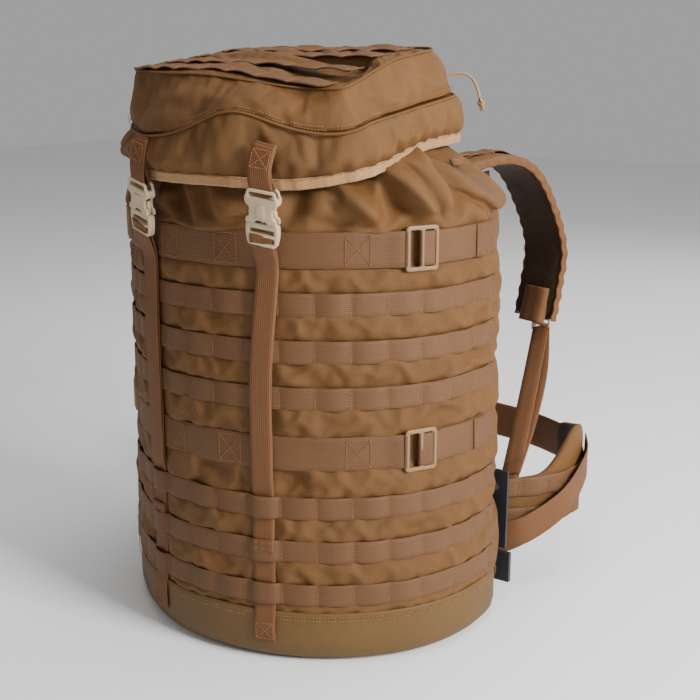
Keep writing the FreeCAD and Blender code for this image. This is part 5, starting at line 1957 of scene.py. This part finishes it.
def make_chest_strap(side_name, side, place):
    """Half of the chest strap with its small clip, hanging inside the shoulder strap."""
    low, high = corners_of(f"sternum_strap_{side_name}")
    middle = (low + high) / 2
    away = place.to_3x3() @ Vector((1, 0, 0))
    shape = Shape()
    points = [Vector((middle.x, middle.y, z)) + away * shift for z, shift in (
        (high.z + 0.002, 0.0), (high.z - 0.02, 0.002), (middle.z, -0.001), (low.z - 0.012, 0.001))]
    sweep(shape, frames_along(points, away), 0.02, sizes().ply)
    sew(shape, f"chest_strap_{side_name}", "strap", f"harness_{side_name}", "webbing_brown",
           f"sternum_strap_{side_name}")
    low, high = corners_of(f"sternum_clip_{side_name}")
    turn = Matrix.Rotation(radians(90 - 17 * side), 4, "Z")
    spot = Matrix.Translation((low + high) / 2) @ turn
    half = [(0.0, 0.0125), (0.0115, 0.0125), (0.012, 0.004), (0.0085, -0.002), (0.01, -0.0125),
            (0.0, -0.0125)]
    slot = rounded(-0.009, 0.006, 0.009, 0.0098, 0.001)
    clip = plate(f"chest_clip_{side_name}", [mirrored_outline(half), slot], 0.006, 0.001, "lock", spot)
    belong(clip, f"harness_{side_name}", "lock_tan", f"sternum_clip_{side_name}")


def make_lower_strap(side_name, side, place):
    """Two plies of webbing from the buckle to the bag's lower corner."""
    low, high = corners_of(f"strap_buckle_{side_name}")
    start = Vector(((low.x + high.x) / 2, low.y + 0.006, low.z + 0.008))
    end = Vector((0.226 * side, 0.164, 0.15))
    sag = Vector((0, 0, -0.006))
    across_start = place.to_3x3() @ Vector((0, 0, 1))
    across_end = Vector((0.55, 0.55 * side, 0.4)) * (1 if across_start.x > 0 else -1)
    shape = Shape()
    away = place.to_3x3() @ Vector((1, 0, 0))
    for lift, bow in ((0.0, 0.0), (0.0024, 0.014)):
        raise_by = Vector((0, lift, lift))
        points = [start + raise_by, start.lerp(end, 0.33) + sag + raise_by + away * bow,
                  start.lerp(end, 0.66) + sag + raise_by + away * bow * 0.8, end + raise_by * 2]
        frames = frames_along(points, (across_start, across_end), 0.006)
        sweep(shape, frames, sizes().webbing, sizes().ply)
    webbing = shape.build(f"lower_strap_cloth_{side_name}", finish("strap"))
    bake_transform(webbing)
    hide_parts(f"lower_webbing_{side_name}")


class BACKPACK_OT_harness(bpy.types.Operator):
    """Makes the padded shoulder straps and their webbing"""

    bl_idname = "backpack.harness"
    bl_label = "Shoulder harness"

    def execute(self, context):
        for side_name, side in SIDES:
            place = harness_place(side)
            make_shoulder_pad(side_name, side, place)
            make_ladder(side_name, place)
            make_strap_end(side_name, place)
            make_lifter(side_name, place)
            make_strap_buckle(side_name, side)
            make_chest_strap(side_name, side, place)
            make_lower_strap(side_name, side, place)
        return {"FINISHED"}


# --- hip belt

WING_CENTRE = (0.154, 0.278)
WING_RADIUS = 0.112
WING_FROM = -114
WING_TO = 63
WING_SIDE_LOW = ((0.15, 0.026), (0.285, 0.084), (0.4, 0.106))
WING_SIDE_HIGH = ((0.15, 0.132), (0.212, 0.142), (0.285, 0.19), (0.4, 0.16))


def along_line(line, y):
    for (y0, z0), (y1, z1) in zip(line, line[1:]):
        if y <= y1:
            return mix(z0, z1, smooth((y - y0) / (y1 - y0)) if y > y0 else 0.0)
    return line[-1][1]


def wing_spot(side, angle, radius):
    turn = radians(angle)
    x = WING_CENTRE[0] + radius * cos(turn)
    return Vector((side * x, WING_CENTRE[1] + radius * sin(turn), 0))


def make_wing(side_name, side):
    thick = 0.014
    columns = 56
    corners = 30
    rows = []
    for column in range(columns + 1):
        share = column / columns
        angle = mix(WING_FROM, WING_TO, share)
        spot = wing_spot(side, angle, WING_RADIUS - thick / 2)
        outward = (spot - wing_spot(side, angle, WING_RADIUS - 0.05)).normalized()
        low = along_line(WING_SIDE_LOW, spot.y) + 0.001
        high = along_line(WING_SIDE_HIGH, spot.y) - 0.001
        end = smooth(min(share, 1 - share) / 0.035)
        half = (high - low) / 2 * mix(0.88, 1.0, end)
        row = []
        for corner in range(corners):
            turn = 2 * pi * corner / corners
            z = copysign(abs(cos(turn)) ** 0.42, cos(turn)) * half
            y = copysign(abs(sin(turn)) ** 0.8, sin(turn)) * thick / 2
            y *= mix(0.6, 1.0, end)
            channel = 0.0022 * exp(-((z + half * 0.28) / 0.004) ** 2)
            dent = 0.001 * noise_at(share * 14, z * 30, side)
            y = y - copysign(channel, y) + dent
            row.append(spot + outward * y + Vector((0, 0, (low + high) / 2 + z)))
        rows.append(row)
    cushion(rows, side > 0, f"wing_cushion_{side_name}", f"wing_{side_name}",
            f"hip_wing_{side_name}")


def make_wing_rows(side_name, side):
    shape = Shape()
    thread = Shape()
    pitch = sizes().stitch_pitch
    for first, final, low in ((-88, 52, 0.118), (-84, 4, 0.078)):
        frames = []
        travel = 0.0
        steps = round((final - first) / 1.6)
        for step in range(steps + 1):
            angle = mix(first, final, step / steps)
            travel = radians(angle - first) * WING_RADIUS
            puff = 0.002 * abs(sin(pi * travel / pitch))
            spot = wing_spot(side, angle, WING_RADIUS + 0.0012 + puff)
            outward = (spot - wing_spot(side, angle, 0.05)).normalized()
            middle = low + sizes().webbing / 2
            frames.append((spot + UP * middle, UP * side, outward))
            near = abs(travel / pitch - round(travel / pitch))
            if step and near < 0.5 * radians(1.6) * WING_RADIUS / pitch:
                bar_tack(thread, spot + UP * middle + outward * 0.0009, UP, outward, 0.0225)
        sweep(shape, frames, sizes().webbing, sizes().ply)
    sew(shape, f"wing_rows_{side_name}", "webbing", f"wing_{side_name}", "webbing_tan",
           f"wing_webbing_{side_name}")
    sew(thread, f"wing_thread_{side_name}", "thread", f"wing_{side_name}", "webbing_tan")


def make_belt_tail(side_name, side):
    """The belt's loose webbing, from the wing's tip round its outside to the lumbar plate."""
    shape = Shape()
    points = []
    for angle, middle, out in ((30, 0.15, 0.004), (6, 0.138, 0.009), (-20, 0.106, 0.012),
                               (-46, 0.078, 0.012), (-64, 0.066, 0.006), (-74, 0.063, 0.003)):
        points.append(wing_spot(side, angle, WING_RADIUS + out) + UP * middle)
    frames = frames_along(points, UP * side, 0.005)
    sweep(shape, frames, 0.036, sizes().ply)
    sew(shape, f"belt_tail_{side_name}", "strap", f"wing_{side_name}", "webbing_brown")


def make_waist_strap(side_name, side):
    low, high = corners_of(f"waist_strap_{side_name}")
    inner = low.x if side > 0 else high.x
    outer = high.x if side > 0 else low.x
    middle = (low.z + high.z) / 2
    start = wing_spot(side, WING_TO - 16, WING_RADIUS + 0.001) + UP * middle
    corner = Vector((mix(outer, inner, 0.42), mix(low.y, high.y, 0.66), middle))
    end = Vector((inner, high.y - 0.001, middle))
    shape = Shape()
    tip = wing_spot(side, WING_TO + 1, WING_RADIUS - 0.001) + UP * middle
    points = [start, tip, corner, end]
    sweep(shape, frames_along(points, UP * side, 0.006), 0.05, sizes().ply * 1.2)
    sew(shape, f"waist_webbing_{side_name}", "strap", f"wing_{side_name}", "webbing_brown",
           f"waist_strap_{side_name}")


def make_clasp(side_name, side):
    low, high = corners_of(f"waist_clasp_{side_name}")
    middle = (low + high) / 2
    spot = Matrix.Translation(middle)
    half_long = (high.x - low.x) / 2
    half_tall = (high.z - low.z) / 2
    parts = []
    if side < 0:
        outline = [(half_long, half_tall - 0.004), (half_long - 0.003, half_tall),
                   (0.004, half_tall - 0.001), (-0.004, half_tall - 0.006), (-0.016, half_tall - 0.002),
                   (-half_long + 0.003, half_tall - 0.002), (-half_long, half_tall - 0.006)]
        outline += [(x, -z) for x, z in reversed(outline)]
        slot = rounded(-half_long + 0.005, -half_tall + 0.005, -half_long + 0.0095, half_tall - 0.005,
                       0.001)
        for shift in (-0.0045, 0.0045):
            parts.append(plate("skin", [outline, slot], 0.0028, 0.001, "lock",
                               spot, shift))
        core = rounded(-half_long + 0.01, -half_tall + 0.008, -0.002, half_tall - 0.008, 0.003)
        parts.append(plate("core", [core], 0.008, 0.001, "lock", spot))
    else:
        block = rounded(-half_long + 0.02, -half_tall, half_long, half_tall, 0.005)
        slots = [rounded(half_long - shift, -half_tall + 0.005, half_long - shift + 0.0045,
                         half_tall - 0.005, 0.001) for shift in (0.0095, 0.02)]
        parts.append(plate("block", [block] + slots, 0.011, 0.0014, "lock", spot))
        for centre, tall in ((-0.0195, 0.009), (0.0, 0.008), (0.0195, 0.009)):
            prong = rounded(-half_long, centre - tall / 2, -half_long + 0.022, centre + tall / 2, 0.0028)
            parts.append(plate("prong", [prong], 0.0042, 0.001, "lock", spot))
    belong(join(f"waist_buckle_{side_name}", parts), f"wing_{side_name}", "lock_tan",
           f"waist_clasp_{side_name}")


class BACKPACK_OT_belt(bpy.types.Operator):
    """Makes the hip wings, their webbing and the waist buckle"""

    bl_idname = "backpack.belt"
    bl_label = "Hip belt"

    def execute(self, context):
        for side_name, side in SIDES:
            make_wing(side_name, side)
            make_wing_rows(side_name, side)
            make_belt_tail(side_name, side)
            make_waist_strap(side_name, side)
            make_clasp(side_name, side)
        return {"FINISHED"}


# --- stage

def floor_finish():
    material, tree, shader = nodes_of("pale_floor")
    place = object_place(tree)
    shade = tint(tree, (0.86, 0.86, 0.86), cloud(tree, place, 3.0), 0.99, 1.01)
    link(tree, shade, shader.inputs["Base Color"])
    shader.inputs["Roughness"].default_value = 0.9
    return material


def add_light(name, place, size, power):
    data = bpy.data.lights.new(name, "AREA")
    data.size = size
    data.energy = power
    lamp = bpy.data.objects.new(name, data)
    lamp.location = place
    aim = Vector((0.0, 0.0, 0.33)) - Vector(place)
    lamp.rotation_euler = aim.to_track_quat("-Z", "Y").to_euler()
    bpy.context.scene.collection.objects.link(lamp)


class BACKPACK_OT_stage(bpy.types.Operator):
    """Makes the pale floor, the soft lights and the camera"""

    bl_idname = "backpack.stage"
    bl_label = "Stage"

    def execute(self, context):
        camera_data = bpy.data.cameras.new("camera")
        camera_data.lens = 57.45
        camera_data.sensor_width = 36.0
        camera = bpy.data.objects.new("camera", camera_data)
        camera.location = (0.772, -1.015, 0.649)
        camera.rotation_euler = Vector((-0.534, 0.807, -0.253)).to_track_quat("-Z", "Y").to_euler()
        context.scene.collection.objects.link(camera)
        context.scene.camera = camera
        shape = Shape()
        reach = 6.0
        shape.grid([[Vector((x, y, -0.0005)) for x in (-reach, reach)] for y in (-reach, reach)])
        floor = shape.build("floor", floor_finish(), flat=True)
        add_light("key", (2.4, -0.15, 1.45), 0.9, 138.0)
        add_light("front", (-1.2, -2.3, 1.5), 1.6, 3.0)
        add_light("top", (0.3, 0.1, 2.6), 1.4, 26.0)
        add_light("back", (0.3, 2.4, 1.6), 1.6, 16.0)
        world = bpy.data.worlds.new("studio")
        world.use_nodes = True
        world.node_tree.nodes["Background"].inputs["Color"].default_value = (1, 1, 1, 1)
        world.node_tree.nodes["Background"].inputs["Strength"].default_value = 0.4
        context.scene.world = world
        return {"FINISHED"}


# --- panel and registration

OPERATORS = (BACKPACK_OT_stage, BACKPACK_OT_zip, BACKPACK_OT_bag, BACKPACK_OT_base, BACKPACK_OT_rows,
             BACKPACK_OT_bands, BACKPACK_OT_locks, BACKPACK_OT_front_straps, BACKPACK_OT_lid,
             BACKPACK_OT_buckles, BACKPACK_OT_frame, BACKPACK_OT_harness, BACKPACK_OT_belt)


class BACKPACK_PT_panel(bpy.types.Panel):
    """Lists the backpack's pieces and their sizes and colours"""

    bl_idname = "BACKPACK_PT_panel"
    bl_label = "Backpack"
    bl_space_type = "VIEW_3D"
    bl_region_type = "UI"
    bl_category = "Backpack"

    def draw(self, context):
        column = self.layout.column()
        for operator in OPERATORS:
            column.operator(operator.bl_idname)
        for group in (context.scene.backpack_sizes, context.scene.backpack_colours):
            for name in group.__annotations__:
                column.prop(group, name)


CLASSES = (BackpackSizes, BackpackColours, *OPERATORS, BACKPACK_PT_panel)


def register():
    for cls in CLASSES:
        bpy.utils.register_class(cls)
    bpy.types.Scene.backpack_sizes = bpy.props.PointerProperty(type=BackpackSizes)
    bpy.types.Scene.backpack_colours = bpy.props.PointerProperty(type=BackpackColours)


def unregister():
    del bpy.types.Scene.backpack_colours
    del bpy.types.Scene.backpack_sizes
    for cls in reversed(CLASSES):
        bpy.utils.unregister_class(cls)


def main():
    register()
    for operator in OPERATORS:
        group, name = operator.bl_idname.split(".")
        getattr(getattr(bpy.ops, group), name)()


if __name__ == "__main__":
    main()
